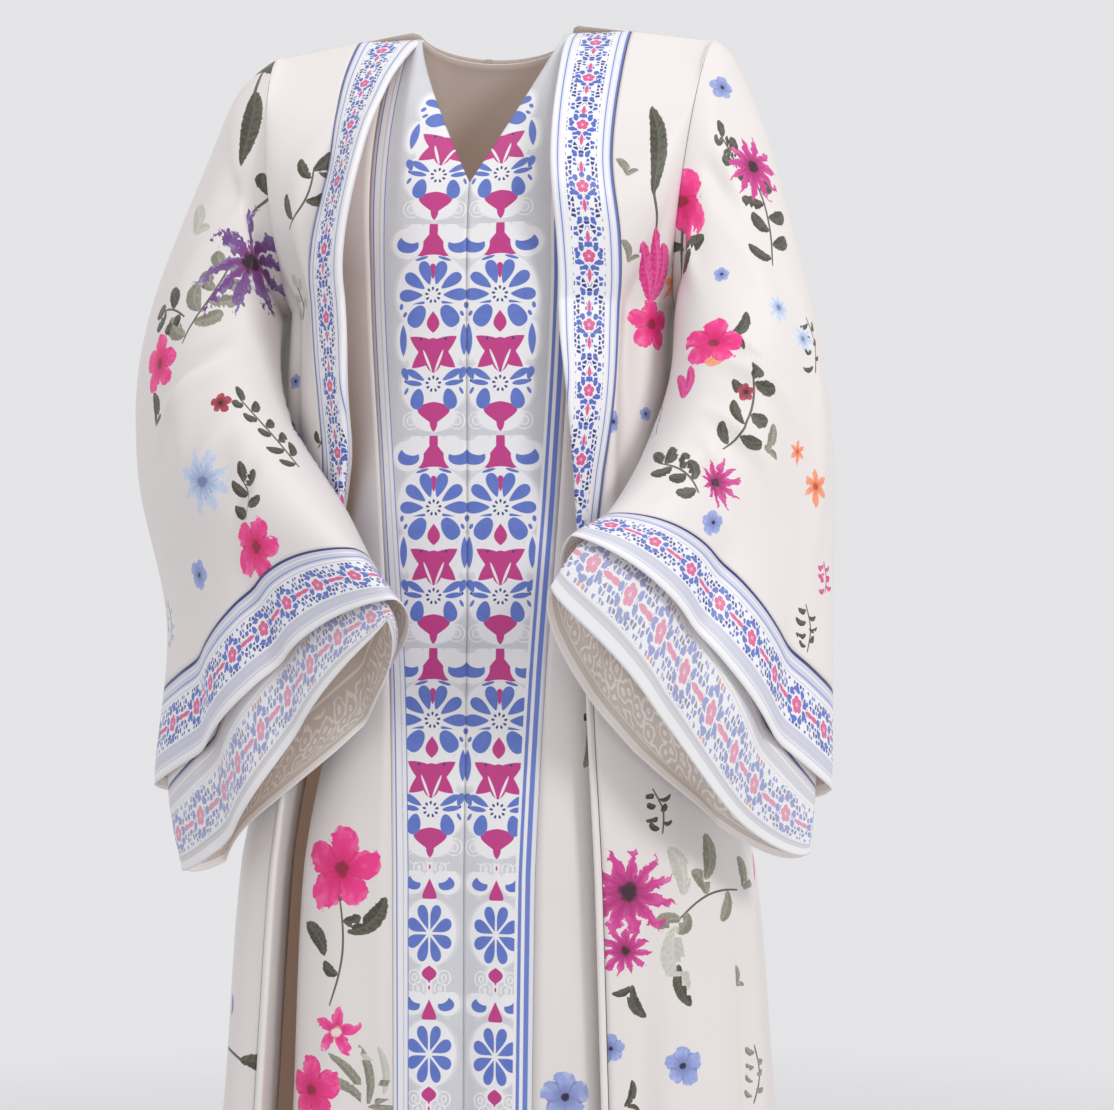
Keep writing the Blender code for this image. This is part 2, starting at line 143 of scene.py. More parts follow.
underFolds = [
    Fold(0, 0, -560, -1420, 5, -6, False),
    Fold(-32, -35, -640, -1420, 7, -4, False),
    Fold(112, 116, -500, -1420, 12, 12, False),
    Fold(150, 152, -400, -1420, 12, 14, False),
    Fold(-170, -168, -500, -1420, 12, 12, False),
    Fold(-130, -128, -450, -1420, 12, 14, False),
    # finer creases
    Fold(-17, -20, -640, -1420, 4, 2.5, False),
    Fold(15, 17, -600, -1420, 4, 2.5, False),
    Fold(-44, -46, -640, -1420, 4, 4, False),
    Fold(46, 44, -660, -1420, 4, 3, False),
]

# The over-robe's opening: how far from the centre its band is sewn on and where the band
# ends, and how much of the band is folded under. Below the waist nearly all of it is.
Opening = namedtuple("Opening", "height right rightEdge left leftEdge rightUnder leftUnder")
overOpenings = [
    Opening(0, 140, 81, 140, 81, 10, 10),
    Opening(-60, 142, 90, 140, 86, 10, 10),
    Opening(-150, 138, 100, 141, 92, 10, 10),
    Opening(-225, 149, 110, 149, 96, 10, 10),
    Opening(-313, 150, 110, 146, 100, 10, 10),
    Opening(-380, 147, 114, 139, 106, 17, 17),
    Opening(-450, 145, 121, 131, 112, 36, 36),
    Opening(-560, 152, 145, 125, 119, 61, 60),
    Opening(-640, 180, 178, 125, 123, 65, 65),
    Opening(-830, 199, 197, 136, 134, 65, 65),
    Opening(-1080, 212, 210, 144, 142, 65, 65),
    Opening(-1420, 228, 226, 154, 152, 65, 65),
]
bandWidth = 68
bandGap = 1.2
rollLength = 7                # the length of band taken up by turning under
rollAngle = {rightSide: 140, leftSide: 174}

# Half the width of the under-robe's patterned front panel.
PanelWidth = namedtuple("PanelWidth", "height width")
panelWidths = [
    PanelWidth(-100, 100),
    PanelWidth(-285, 98),
    PanelWidth(-470, 88),
    PanelWidth(-640, 77),
    PanelWidth(-830, 70),
    PanelWidth(-1420, 66),
]

# The cut of a robe round the neck, shoulders and armholes.
Robe = namedtuple(
    "Robe",
    "rings folds top underarm hem shoulderHalf shoulderDrop neckHalf neckFront neckDrop"
    " neckBack backDrop armholeDepth",
)
overRobe = Robe(overRings, overFolds, 0, -285, -1420, 222, 22, 80, 104, 162, 54, 22, 75)
underRobe = Robe(
    underRings, underFolds, -8, -262, -1415, 200, 28, 74, 106, 162, 46, 20, 62
)

# One section of the sleeves. The near line runs from the underarm along the top of the
# forearm to the wrist, and the far line over the shoulder and elbow to the hanging tip. The
# front and back layers stand off the straight line between the two, and hang below it.
Section = namedtuple(
    "Section", "nearX nearY nearZ farX farY farZ front back frontHang backHang"
)
sleeveSections = {
    rightSide: [
        Section(-210, -4, -292, -264, 0, -56, 76, 76, 0, 0),
        Section(-204, -36, -316, -298, 0, -126, 78, 80, 0, 0),
        Section(-183, -100, -388, -356, 5, -290, 80, 88, 0, 0),
        Section(-142, -160, -455, -368, 0, -439, 66, 84, 0, 0),
        Section(-93, -205, -512, -330, -30, -598, 46, 76, 0, 10),
        Section(-34, -246, -568, -328, -80, -757, 26, 70, -4, 26),
        Section(-35, -254, -578, -311, -81, -851, 24, 70, 18, 36),
    ],
    leftSide: [
        Section(191, -4, -292, 244, 0, -46, 76, 76, 0, 0),
        Section(190, -32, -315, 280, 0, -138, 78, 80, 0, 0),
        Section(188, -100, -388, 317, 5, -297, 80, 88, 0, 0),
        Section(182, -160, -443, 334, 0, -439, 66, 84, 0, 0),
        Section(158, -205, -486, 338, -30, -594, 50, 80, 0, 20),
        Section(128, -246, -510, 344, -80, -749, 36, 76, 0, 40),
        Section(104, -256, -547, 338, -82, -821, 34, 76, 22, 54),
    ],
}
# The under-sleeve lies inside the over-sleeve by this much at each section of the table.
nearInsets = (32, 30, 20, 12, 12, 12, 12)
farInset = 22
depthInset = 13
# Where the cuff is sewn on at the near and far lines and where it ends. 0 is the armhole,
# 1 the first section of the table and so on.
Cuff = namedtuple("Cuff", "near far hem")
overCuffAt = Cuff(5.15, 5.4, 6)
underCuffAt = Cuff(5.35, 6.1, 7)
cuffGap = 0.004
hemWave = 13               # the front layer's hem swings this far up, then down
sleeveLean = 0.3       # how much flatter a sleeve is at its far line than at its near line
armClearance = 10      # between a robe's body and the over-sleeve that lies against it
layerClearance = 17    # and the under-sleeve, which lies inside the over-sleeve

# A fold or crease in a sleeve: face is its side, reach 0 the near line and 1 the far line.
SleeveFold = namedtuple("SleeveFold", "face headReach footReach head foot width depth fades")
sleeveFolds = [
    SleeveFold(frontFace, 0.30, 0.58, 2.7, 4.7, 0.08, 8, True),
    SleeveFold(frontFace, 0.14, 0.36, 3.1, 5.0, 0.07, -6, True),
    SleeveFold(frontFace, 0.72, 0.60, 1.5, 3.5, 0.09, 6, True),
    SleeveFold(frontFace, 0.55, 0.60, 4.5, 6.0, 0.11, 10, False),
    SleeveFold(backFace, 0.35, 0.55, 2.0, 4.5, 0.10, 8, True),
    SleeveFold(backFace, 0.65, 0.72, 3.2, 6.0, 0.10, 8, False),
    # finer creases
    SleeveFold(frontFace, 0.06, 0.52, 3.2, 4.4, 0.040, 9, True),
    SleeveFold(frontFace, 0.04, 0.40, 3.6, 5.0, 0.034, -9, True),
    SleeveFold(frontFace, 0.14, 0.74, 2.7, 4.1, 0.050, 9, True),
    SleeveFold(frontFace, 0.10, 0.60, 2.4, 3.6, 0.040, -8, True),
    SleeveFold(frontFace, 0.34, 0.28, 0.3, 2.6, 0.055, 9, True),
    SleeveFold(frontFace, 0.16, 0.22, 0.4, 2.4, 0.040, -6, True),
    SleeveFold(frontFace, 0.50, 0.80, 0.5, 3.2, 0.065, -9, True),
    SleeveFold(frontFace, 0.86, 0.78, 2.2, 5.4, 0.055, 8, True),
    SleeveFold(frontFace, 0.38, 0.40, 4.2, 6.0, 0.050, -7, False),
    SleeveFold(frontFace, 0.72, 0.76, 4.2, 6.0, 0.055, -8, False),
    SleeveFold(backFace, 0.45, 0.30, 1.0, 4.0, 0.060, 8, True),
    SleeveFold(backFace, 0.80, 0.60, 2.5, 5.5, 0.060, -8, True),
    SleeveFold(backFace, 0.20, 0.30, 3.0, 6.0, 0.050, 7, False),
]


def mix(a, b, share):
    return a + (b - a) * share


def ease(share):
    share = min(1.0, max(0.0, share))
    return share * share * (3 - 2 * share)


def smoothRow(rows, position):
    # the row at a fractional position in a table, on a smooth curve through its rows.
    i = min(int(position), len(rows) - 2)
    t = position - i
    before = rows[max(i - 1, 0)]
    a, b = rows[i], rows[i + 1]
    after = rows[min(i + 2, len(rows) - 1)]
    values = []
    for p, q, r, s in zip(before, a, b, after):
        rise = (s - q) / 2
        fall = (r - p) / 2
        values.append(
            q + t * (fall + t * (3 * (r - q) - 2 * fall - rise + t * (2 * (q - r) + fall + rise)))
        )
    return type(a)(*values)


def rowAt(rows, height):
    # the row of a table at a height, smoothly between the rows that are listed.
    if height >= rows[0].height:
        return rows[0]
    for i in range(len(rows) - 1):
        if height >= rows[i + 1].height:
            share = (height - rows[i].height) / (rows[i + 1].height - rows[i].height)
            return smoothRow(rows, i + share)
    return rows[-1]


def topPoint(robe, face, column):
    # a point of the neck edge and shoulder seam. column is 0 at the centre, 1 at the armhole.
    x = robe.shoulderHalf * sin(pi / 2 * column)
    if x >= robe.neckHalf:
        slope = (x - robe.neckHalf) / (robe.shoulderHalf - robe.neckHalf)
        return x, 0.0, robe.top - robe.shoulderDrop * slope
    share = x / robe.neckHalf
    if face == frontFace:  # a V neck
        y = -robe.neckFront * (1 - share) ** 0.6
        return x, y, robe.top - robe.neckDrop * (1 - share) ** 0.85
    dip = sqrt(1 - share * share)
    return x, robe.neckBack * dip, robe.top - robe.backDrop * dip


def ringPoint(robe, side, face, column, height):
    # a point of the horizontal section at a height, with no folds.
    ring = rowAt(robe.rings, height)
    half = ring.right if side == rightSide else ring.left
    depth = ring.front if face == frontFace else ring.back
    power = 2 / ring.squareness
    x = half * max(0.0, sin(pi / 2 * column)) ** power
    return x, face * depth * max(0.0, cos(pi / 2 * column)) ** power


def plainPoint(robe, side, face, column, down):
    # a point of the robe's body with no folds. down is 0 at the top edge, 1 at the underarm
    # and 2 at the hem.
    column = min(1.0, max(0.0, column))
    if down >= 1:
        height = mix(robe.underarm, robe.hem, down - 1)
        x, y = ringPoint(robe, side, face, column, height)
        return side * x, y, height
    fall = (1 - cos(pi * down)) / 2
    topX, topY, topZ = topPoint(robe, face, column)
    flatX, flatY = ringPoint(robe, side, face, column, robe.underarm)
    settled = sin(pi / 2 * fall) ** 0.7
    bulge = sin(pi * down) ** (1 + 4 * (1 - column))  # round at the armhole, softer inwards
    armhole = face * robe.armholeDepth * bulge * column**1.5
    y = armhole + mix(topY, flatY, settled)
    return side * mix(topX, flatX, fall), y, mix(topZ, robe.underarm, fall)


def foldDepth(robe, x, y, height):
    # how far the folds push the cloth outwards at a point.
    bearing = degrees(atan2(x, -y))
    total = 0.0
    for fold in robe.folds:
        run = (height - fold.head) / (fold.foot - fold.head)
        if run <= 0 or (fold.fades and run >= 1):
            continue
        strength = sin(pi * run) ** 2 if fold.fades else ease(run * 1.3)
        off = abs(bearing - mix(fold.headBearing, fold.footBearing, min(run, 1)))
        off = min(off, 360 - off)
        total += fold.depth * strength * exp(-((off / fold.width) ** 2))
    return total


def bodyPoint(robe, side, face, column, down):
    # a point of the robe's body, folds included, kept clear of the seam at its edge.
    x, y, z = plainPoint(robe, side, face, column, down)
    step = 0.01
    ax, ay, _ = plainPoint(robe, side, face, column - step, down)
    bx, by, _ = plainPoint(robe, side, face, column + step, down)
    outX, outY = (by - ay) * face * -side, (bx - ax) * face * side
    size = max(hypot(outX, outY), 1e-6)
    if outX * x + outY * y < 0:
        size = -size
    held = column**8 * (1 - ease(4 * (down - 1)))  # no fold at the armhole
    push = foldDepth(robe, x, y, z) * (1 - held)
    x += push * outX / size
    y += push * outY / size
    gap = mix(shell["ridgeGap"], shell["seamGap"], min(1, 8 * down)) / 2
    return x, face * max(face * y, gap), z


def columnAt(robe, side, face, x, down):
    # the column whose plain point lies this far from the centre plane.
    low, high = 0.0, 1.0
    for _ in range(30):
        middle = (low + high) / 2
        if abs(plainPoint(robe, side, face, middle, down)[0]) < x:
            low = middle
        else:
            high = middle
    return (low + high) / 2


def heightOf(robe, down):
    # roughly how high a row lies at the chest, to read the tables of widths.
    return plainPoint(robe, rightSide, frontFace, 0.5, down)[2]


def evenDowns(robe, face, column, count):
    # rows at equal lengths of cloth, from the top edge to the hem
    samples = [i / 300 for i in range(601)]
    line = [Vector(plainPoint(robe, leftSide, face, column, s)) for s in samples]
    runs = [0.0]
    for a, b in zip(line, line[1:]):
        runs.append(runs[-1] + (b - a).length)
    wanted = [runs[-1] * i / count for i in range(count + 1)]
    return [float(down) for down in np.interp(wanted, runs, samples)]


def shares(count):
    return [i / count for i in range(count + 1)]


def overFrontRow(side, down, count):
    opening = rowAt(overOpenings, heightOf(overRobe, down))
    seam = opening.right if side == rightSide else opening.left
    start = columnAt(overRobe, side, frontFace, seam, down)
    columns = [mix(start, 1, share) for share in shares(count)]
    return [bodyPoint(overRobe, side, frontFace, column, down) for column in columns]


def bandRow(side, down):
    # from its seam the band runs forward to its edge, where the rest of it turns under.
    opening = rowAt(overOpenings, heightOf(overRobe, down))
    seam, edge, under = opening[1], opening[2], opening[5]
    if side == leftSide:
        seam, edge, under = opening[3], opening[4], opening[6]
    shows = bandWidth - under
    inwards = seam - edge
    start = columnAt(overRobe, side, frontFace, seam, down)
    x, y, _ = bodyPoint(overRobe, side, frontFace, start, down)
    innerX, innerY, _ = bodyPoint(overRobe, side, frontFace, start + 0.02, down)
    arriving = atan2(y - innerY, (x - innerX) * -side)
    heading = -atan2(sqrt(max(shows**2 - inwards**2, 1)), inwards)
    strides = [shows / 10] * 10 + [rollLength / 8] * 8 + [(under - rollLength) / 5] * 5
    turns = [0] * 10 + [(i + 0.5) / 8 for i in range(8)] + [1] * 5
    x -= side * bandGap * cos((arriving + heading) / 2)
    y += bandGap * sin((arriving + heading) / 2)
    roll = radians(rollAngle[side]) * min(1, 0.4 + 2 * down)  # flatter on the shoulder
    row = [(x, y)]
    for stride, share in zip(strides, turns):
        angle = heading + roll * share
        x -= side * stride * cos(angle)
        y += stride * sin(angle)
        row.append((x, y))
    height = plainPoint(overRobe, side, frontFace, start, down)[2]
    return [(x, y, height) for x, y in row]


def backRow(robe, down, count):
    row = []
    for share in shares(count):
        across = 2 * share - 1
        side = leftSide if across > 0 else rightSide
        row.append(bodyPoint(robe, side, backFace, abs(across), down))
    return row


def panelRow(side, down, count):
    width = rowAt(panelWidths, heightOf(underRobe, down)).width - shell["seamGap"] / 2
    edges = [mix(shell["centreGap"] / 2, width, share) for share in shares(count)]
    columns = [columnAt(underRobe, side, frontFace, x, down) for x in edges]
    row = [bodyPoint(underRobe, side, frontFace, column, down) for column in columns]
    _, y, z = row[0]
    row[0] = (side * shell["centreGap"] / 2, y, z)
    return row


def underFrontRow(side, down, count):
    width = rowAt(panelWidths, heightOf(underRobe, down)).width
    start = columnAt(underRobe, side, frontFace, width + shell["seamGap"] / 2, down)
    columns = [mix(start, 1, share) for share in shares(count)]
    return [bodyPoint(underRobe, side, frontFace, column, down) for column in columns]


def clearOfBody(point, clearance):
    # a sleeve lies against the robe's body: a point that would be inside it is moved out.
    x, y, z = point
    if z > overRobe.underarm:
        return point
    ring = rowAt(overRings, z)
    clearance += max(0, foldDepth(overRobe, x, y, z))
    half = (ring.right if x < 0 else ring.left) + clearance
    depth = (ring.front if y < 0 else ring.back) + clearance
    inside = (abs(x) / half) ** ring.squareness + (abs(y) / depth) ** ring.squareness
    if inside >= 1:
        return point
    grow = inside ** (-1 / ring.squareness)
    return Vector((x * grow, y * grow, z))


def armhole(robe, side):
    # the first section of a sleeve, just outside the edge of the robe's armhole.
    ring = rowAt(robe.rings, robe.underarm)
    near = side * ((ring.right if side == rightSide else ring.left) + shell["armholeGap"])
    far = side * (robe.shoulderHalf + shell["armholeGap"])
    depth = robe.armholeDepth
    top = robe.top - robe.shoulderDrop
    return Section(near, 0, robe.underarm, far, 0, top, depth, depth, 0, 0)


def inset(section, nearInset):
    # the under-sleeve's section inside the over-sleeve's.
    near, far = Vector(section[0:3]), Vector(section[3:6])
    across = (far - near).normalized()
    near += across * nearInset
    far -= across * farInset
    return Section(*near, *far, *section[6:])


def sleeveFrame(sections, along):
    # the section of a sleeve at a row, with its run and its front-to-back direction.
    s = smoothRow(sections, along)
    near, far = Vector(s[0:3]), Vector(s[3:6])
    a = smoothRow(sections, max(0, along - 0.3))
    b = smoothRow(sections, min(len(sections) - 1, along + 0.3))
    run = (Vector(b[0:3]) + Vector(b[3:6]) - Vector(a[0:3]) - Vector(a[3:6])).normalized()
    through = run.cross(near - far).normalized()
    if through.y < 0:
        through.negate()
    backwards = Vector((0, 1, 0)).lerp(through, ease((along - 0.8) / 2.4)).normalized()
    return s, near, far, run, backwards


def sleeveFoldDepth(face, reach, along):
    total = 0.0
    for fold in sleeveFolds:
        run = (along - fold.head) / (fold.foot - fold.head)
        if fold.face != face or run <= 0 or (fold.fades and run >= 1):
            continue
        strength = sin(pi * run) ** 2 if fold.fades else ease(run)
        off = (reach - mix(fold.headReach, fold.footReach, min(run, 1))) / fold.width
        total += fold.depth * strength * exp(-off * off)
    return total


def sleevePoint(sections, around, along, inside):
    # a point of a sleeve. around goes from the near line over the front to the far line
    # and back, in radians; along counts sections, 0 at the armhole.
    section, near, far, run, backwards = sleeveFrame(sections, along)
    reach = (1 - cos(around)) / 2
    face = frontFace if sin(around) >= 0 else backFace
    depth, hang = section.front, section.frontHang
    if face == backFace:
        depth, hang = section.back, section.backHang
    roundOut = abs(sin(around)) * (1 - sleeveLean * reach * ease(along / 3))
    out = roundOut * (depth + sleeveFoldDepth(face, reach, along))
    out -= min(out / 2, inside * ease(along) * abs(sin(around)) ** 0.4 * (1 - 0.8 * reach**2))
    down = hang * abs(sin(around))
    if face == frontFace:
        down -= hemWave * sin(2 * pi * reach) * ease((along - 3.5) / 2)
    point = near.lerp(far, reach) + backwards * face * out + run * down
    return clearOfBody(point, layerClearance if inside else armClearance)


def sleeveRows(sections, starts, ends, count, sides, inside):
    # rows of a tube between two edges, each given at the near and the far line
    rows = []
    for share in shares(count):
        row = []
        for i in range(sides):
            angle = 2 * pi * i / sides
            reach = (1 - cos(angle)) / 2
            along = mix(mix(*starts, reach), mix(*ends, reach), share)
            row.append(sleevePoint(sections, angle, along, inside))
        rows.append(row)
    return rows


# Each sheet of cloth is a grid of points. Its cloth map holds where a point lies on the flat
# cloth in metres: x across, y down, or for a border x in from its seam and y along it.
sheets = {}


def layOut(rows, closed):
    grid = np.array([[tuple(point) for point in row] for row in rows]) * 0.001
    if closed:
        grid = np.concatenate([grid, grid[:, :1]], axis=1)
    steps = np.linalg.norm(np.diff(grid, axis=1), axis=2)
    across = np.concatenate([np.zeros((len(grid), 1)), np.cumsum(steps, axis=1)], axis=1)
    drops = np.linalg.norm(np.diff(grid, axis=0), axis=2)
    down = np.concatenate([[0], np.cumsum(drops.mean(axis=1))])
    down = np.repeat(down[:, None], grid.shape[1], axis=1)
    return grid, across, down, float(drops.sum(axis=0).max())


def uprightMap(grid, down):
    # the panel's columns stay upright beside the V neck: x is measured level from the centre
    # front, and above the underarm y is measured up each column
    steps = np.diff(grid, axis=1)
    level = np.cumsum(np.hypot(steps[..., 0], steps[..., 1]), axis=1)
    across = np.abs(grid[:, :1, 0]) + np.concatenate([np.zeros((len(grid), 1)), level], axis=1)
    drops = np.cumsum(np.linalg.norm(np.diff(grid, axis=0), axis=2), axis=0)
    runs = np.concatenate([np.zeros((1, grid.shape[1])), drops])
    underarm = int(np.abs(grid[:, 0, 2] - underRobe.underarm / 1000).argmin())
    down = down.copy()
    down[:underarm] = down[underarm] + runs[:underarm] - runs[underarm]
    return across, down


def clothSheet(name, node, rows, closed=False, flip=False, border=None):
    grid, across, down, longest = layOut(rows, closed)
    tall, wide = grid.shape[0] - 1, grid.shape[1] - 1
    if "Panel" in name:
        across, down = uprightMap(grid, down)
    if border:          # x runs from the seam to the hem, y along the seam
        share = np.linspace(0, 1, tall + 1)[:, None]
        across, down = share * border + 0 * across, across.mean(axis=0) + 0 * across
    columns = wide if closed else wide + 1
    index = np.arange((tall + 1) * (wide + 1)).reshape(tall + 1, wide + 1)
    number = np.arange((tall + 1) * columns).reshape(tall + 1, columns)
    if closed:
        number = np.concatenate([number, number[:, :1]], axis=1)
    loop = [(0, 0), (0, 1), (1, 1), (1, 0)]
    if flip:
        loop = loop[::-1]
    corners = np.stack([index[a:tall + a, b:wide + b] for a, b in loop], axis=-1).reshape(-1, 4)
    faces = np.stack([number[a:tall + a, b:wide + b] for a, b in loop], axis=-1).reshape(-1, 4)
    mesh = bpy.data.meshes.new(name)
    points = grid[:, :columns].reshape(-1, 3)
    mesh.from_pydata(points.tolist(), [], faces.tolist())
    mesh.shade_smooth()
    piece = bpy.data.objects.new(name, mesh)
    bpy.context.scene.collection.objects.link(piece)
    wall = piece.modifiers.new("thickness", "SOLIDIFY")
    wall.thickness = shell["thickness"]
    wall.offset = 0
    wall.material_offset = 1
    places = np.stack([across.reshape(-1), down.reshape(-1)], axis=-1)
    sheet = {"piece": piece, "grid": grid.reshape(-1, 3), "places": places, "corners": corners}
    if "Panel" in name:
        sheet["edge"] = np.stack([(across[:, -1:] - across).reshape(-1), down.reshape(-1)], axis=-1)[corners]
    sheets[name] = sheet
    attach(piece, "root")
    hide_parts(node)
    return piece


overFront = {"columns": 44, "rows": 320}
overBack = {"columns": 120, "rows": 220}
overBand = {"rows": 320}
underFront = {"columns": 22, "rows": 240}
underPanel = {"columns": 22, "rows": 320}
underBack = {"columns": 56, "rows": 140}
overSleeve = {"sides": 132, "rows": 140}
overCuff = {"sides": 132, "rows": 18, "width": 0.070, "seamAt": overCuffAt}
underSleeve = {"sides": 108, "rows": 110}
underCuff = {"sides": 120, "rows": 16, "width": 0.070, "seamAt": underCuffAt}


def buildBodies():
    rows = evenDowns(overRobe, backFace, 0.5, overBack["rows"])
    grid = [backRow(overRobe, down, overBack["columns"]) for down in rows]
    clothSheet("overBackShell", "over_back", grid)
    rows = evenDowns(underRobe, backFace, 0.5, underBack["rows"])
    grid = [backRow(underRobe, down, underBack["columns"]) for down in rows]
    clothSheet("underBackShell", "under_back", grid)
    for side, word in ((rightSide, "right"), (leftSide, "left")):
        mirrored = side == leftSide
        title = word.capitalize()
        rows = evenDowns(overRobe, frontFace, 0.8, overFront["rows"])
        grid = [overFrontRow(side, down, overFront["columns"]) for down in rows]
        clothSheet(f"overFrontShell{title}", f"over_front_{word}", grid, flip=mirrored)
        grid = [bandRow(side, down) for down in rows]
        clothSheet(f"overBandShell{title}", f"over_band_{word}", grid, flip=not mirrored)
        rows = evenDowns(underRobe, frontFace, 0.8, underFront["rows"])
        grid = [underFrontRow(side, down, underFront["columns"]) for down in rows]
        clothSheet(f"underFrontShell{title}", f"under_front_{word}", grid, flip=mirrored)
        rows = evenDowns(underRobe, frontFace, 0.3, underPanel["rows"])
        grid = [panelRow(side, down, underPanel["columns"]) for down in rows]
        clothSheet(f"underPanelShell{title}", f"under_panel_{word}", grid, flip=mirrored)


def buildSleeves():
    for side, word in ((rightSide, "right"), (leftSide, "left")):
        mirrored = side == leftSide
        title = word.capitalize()
        over = [armhole(overRobe, side)] + sleeveSections[side]
        under = [armhole(underRobe, side)]
        under += [inset(section, depth) for section, depth in zip(sleeveSections[side], nearInsets)]
        for layer, sections, tube, cuff, inside in (
            ("over", over, overSleeve, overCuff, 0),
            ("under", under, underSleeve, underCuff, depthInset),
        ):
            at = cuff["seamAt"]
            ends = at.near - cuffGap, at.far - cuffGap
            grid = sleeveRows(sections, (0, 0), ends, tube["rows"], tube["sides"], inside)
            clothSheet(f"{layer}SleeveShell{title}", f"{layer}_sleeve_{word}", grid, closed=True,
                       flip=mirrored)
            starts = at.near + cuffGap, at.far + cuffGap
            grid = sleeveRows(sections, starts, (at.hem, at.hem), cuff["rows"], cuff["sides"], inside)
            clothSheet(f"{layer}CuffShell{title}", f"{layer}_cuff_{word}", grid, closed=True,
                       flip=mirrored, border=cuff["width"])


buildBodies()
print("bodies laid")
buildSleeves()
print("sleeves laid")


def placeCamera():
    turn = radians(photo["azimuth"])
    rightward = Vector((cos(turn), sin(turn), 0))
    forward = Vector((-sin(turn), cos(turn), 0))
    data = bpy.data.cameras.new("camera")
    data.lens = 36 * photo["distance"] * 1000 / photo["width"]
    data.sensor_width = 36
    camera = bpy.data.objects.new("camera", data)
    bpy.context.scene.collection.objects.link(camera)
    camera.location = rightward * photo["side"] - forward * photo["distance"]
    camera.location.z = photo["level"]
    camera.rotation_euler = (radians(90), 0, turn)
    bpy.context.scene.camera = camera
    return camera, rightward, forward


camera, rightward, forward = placeCamera()

studio = {"floorRadius": 1.5, "background": (0.78, 0.78, 0.80)}


def softLight(name, place, aim, size, power, colour=(1, 1, 1)):
    data = bpy.data.lights.new(name, "AREA")
    data.shape = "DISK"
    data.size = size
    data.energy = power
    data.color = colour
    lamp = bpy.data.objects.new(name, data)
    lamp.location = place
    lamp.rotation_euler = (Vector(aim) - Vector(place)).to_track_quat("-Z", "Y").to_euler()
    bpy.context.scene.collection.objects.link(lamp)


def buildStage():
    bpy.ops.object.select_all(action="DESELECT")
    bpy.ops.mesh.primitive_circle_add(vertices=96, radius=studio["floorRadius"] * 3, fill_type="NGON",
                                      location=(0, 0, cadBox[0][2] - 0.004))
    floor = bpy.context.object
    floor.name = "floor"
    paint = bpy.data.materials.new("paleFloor")
    paint.use_nodes = True
    tree = paint.node_tree
    shader = tree.nodes["Principled BSDF"]
    shader.inputs["Base Color"].default_value = (0.70, 0.70, 0.71, 1)
    shader.inputs["Roughness"].default_value = 0.7
    place = tree.nodes.new("ShaderNodeTexCoord")
    far = tree.nodes.new("ShaderNodeVectorMath")
    far.operation = "LENGTH"
    tree.links.new(place.outputs["Object"], far.inputs[0])
    fade = tree.nodes.new("ShaderNodeMapRange")
    fade.inputs["From Min"].default_value = studio["floorRadius"] * 0.7
    fade.inputs["From Max"].default_value = studio["floorRadius"] * 1.5
    fade.inputs["To Min"].default_value = 1
    fade.inputs["To Max"].default_value = 0
    tree.links.new(far.outputs["Value"], fade.inputs["Value"])
    tree.links.new(fade.outputs["Result"], shader.inputs["Alpha"])
    floor.data.materials.append(paint)
    world = bpy.data.worlds.new("studioWorld")
    world.use_nodes = True
    world.node_tree.nodes["Background"].inputs["Color"].default_value = (*studio["background"], 1)
    world.node_tree.nodes["Background"].inputs["Strength"].default_value = 1.0
    bpy.context.scene.world = world
    softLight("keyLight", (2.3, -1.9, 0.9), (0, 0, -0.5), 0.7, 34)
    softLight("topLight", (-0.4, -0.6, 1.8), (0, 0, -0.6), 1.6, 9)
    bpy.context.scene.view_settings.view_transform = "Standard"


buildStage()
print("stage set")


# The floral print. Each drawing is a list of strokes and blooms in millimetres, y up from its
# foot. A stroke is a curve with half a width: kinds 0 to 3 are dark, green, pale and bluish
# leaves, 4 to 6 magenta, orange and blue petals, 7 a thin dark stem. Bloom kinds are 0 hot
# pink, 1 purple star, 2 blue pansy, 3 orange, 4 dahlia, 5 orchid, 6 pale blue brush, 7 red bud.
darkLeaf, greenLeaf, paleLeaf, blueLeaf, magentaPetal, orangePetal, bluePetal, stemLine = range(8)
hotPink, purpleStar, pansy, orangeBloom, dahlia, orchid, brushBloom, redBud = range(8)


def leafStroke(kind, x, y, turn, length, half, bend=0.18):
    # a leaf that starts at x, y and points turn degrees clockwise from up
    a = radians(turn)
    forward, across = (sin(a), cos(a)), (cos(a), -sin(a))
    line = []
    for run, off in ((0, 0), (0.35, bend), (0.7, bend * 0.9), (1, 0)):
        line.append((x + length * (run * forward[0] + off * across[0]),
                     y + length * (run * forward[1] + off * across[1])))
    return ("leaves", kind, half, line)


def leafyBranch(length, leaves, leafLength, leafHalf, kind, sway, chance):
    # a swaying stem with leaves to either side
    stem = [(sway * sin(pi * i / 4) * length, length * i / 4) for i in range(5)]
    parts = [("stems", stemLine, 1.1, stem)]
    for i in range(leaves):
        run = (i + 0.6) / leaves
        x, y = sway * sin(pi * run) * length, length * run
        side = 1 if i % 2 else -1
        size = leafLength * chance.uniform(0.75, 1.15) * (1 - 0.3 * run)
        parts.append(leafStroke(kind, x + side, y, side * chance.uniform(35, 75), size, leafHalf,
                                side * 0.15))
    parts.append(leafStroke(kind, stem[-1][0], length * 0.97, chance.uniform(-20, 20),
                            leafLength * 0.8, leafHalf, 0.1))
    return parts


def bloomOnStem(bloom, radius, length, leafKind, leafLength, chance):
    parts = [("stems", stemLine, 1.4, [(0, 0), (length * 0.08, length * 0.4), (0, length)])]
    for side, run in ((-1, 0.45), (1, 0.62), (-1, 0.8)):
        parts.append(leafStroke(leafKind, side * 1.5, length * run, side * chance.uniform(30, 60),
                                leafLength * chance.uniform(0.8, 1.1), leafLength * 0.17, side * 0.14))
    parts.append(("bloom", bloom, radius, 0, length + radius * 0.5, chance.uniform(-20, 20)))
    return parts


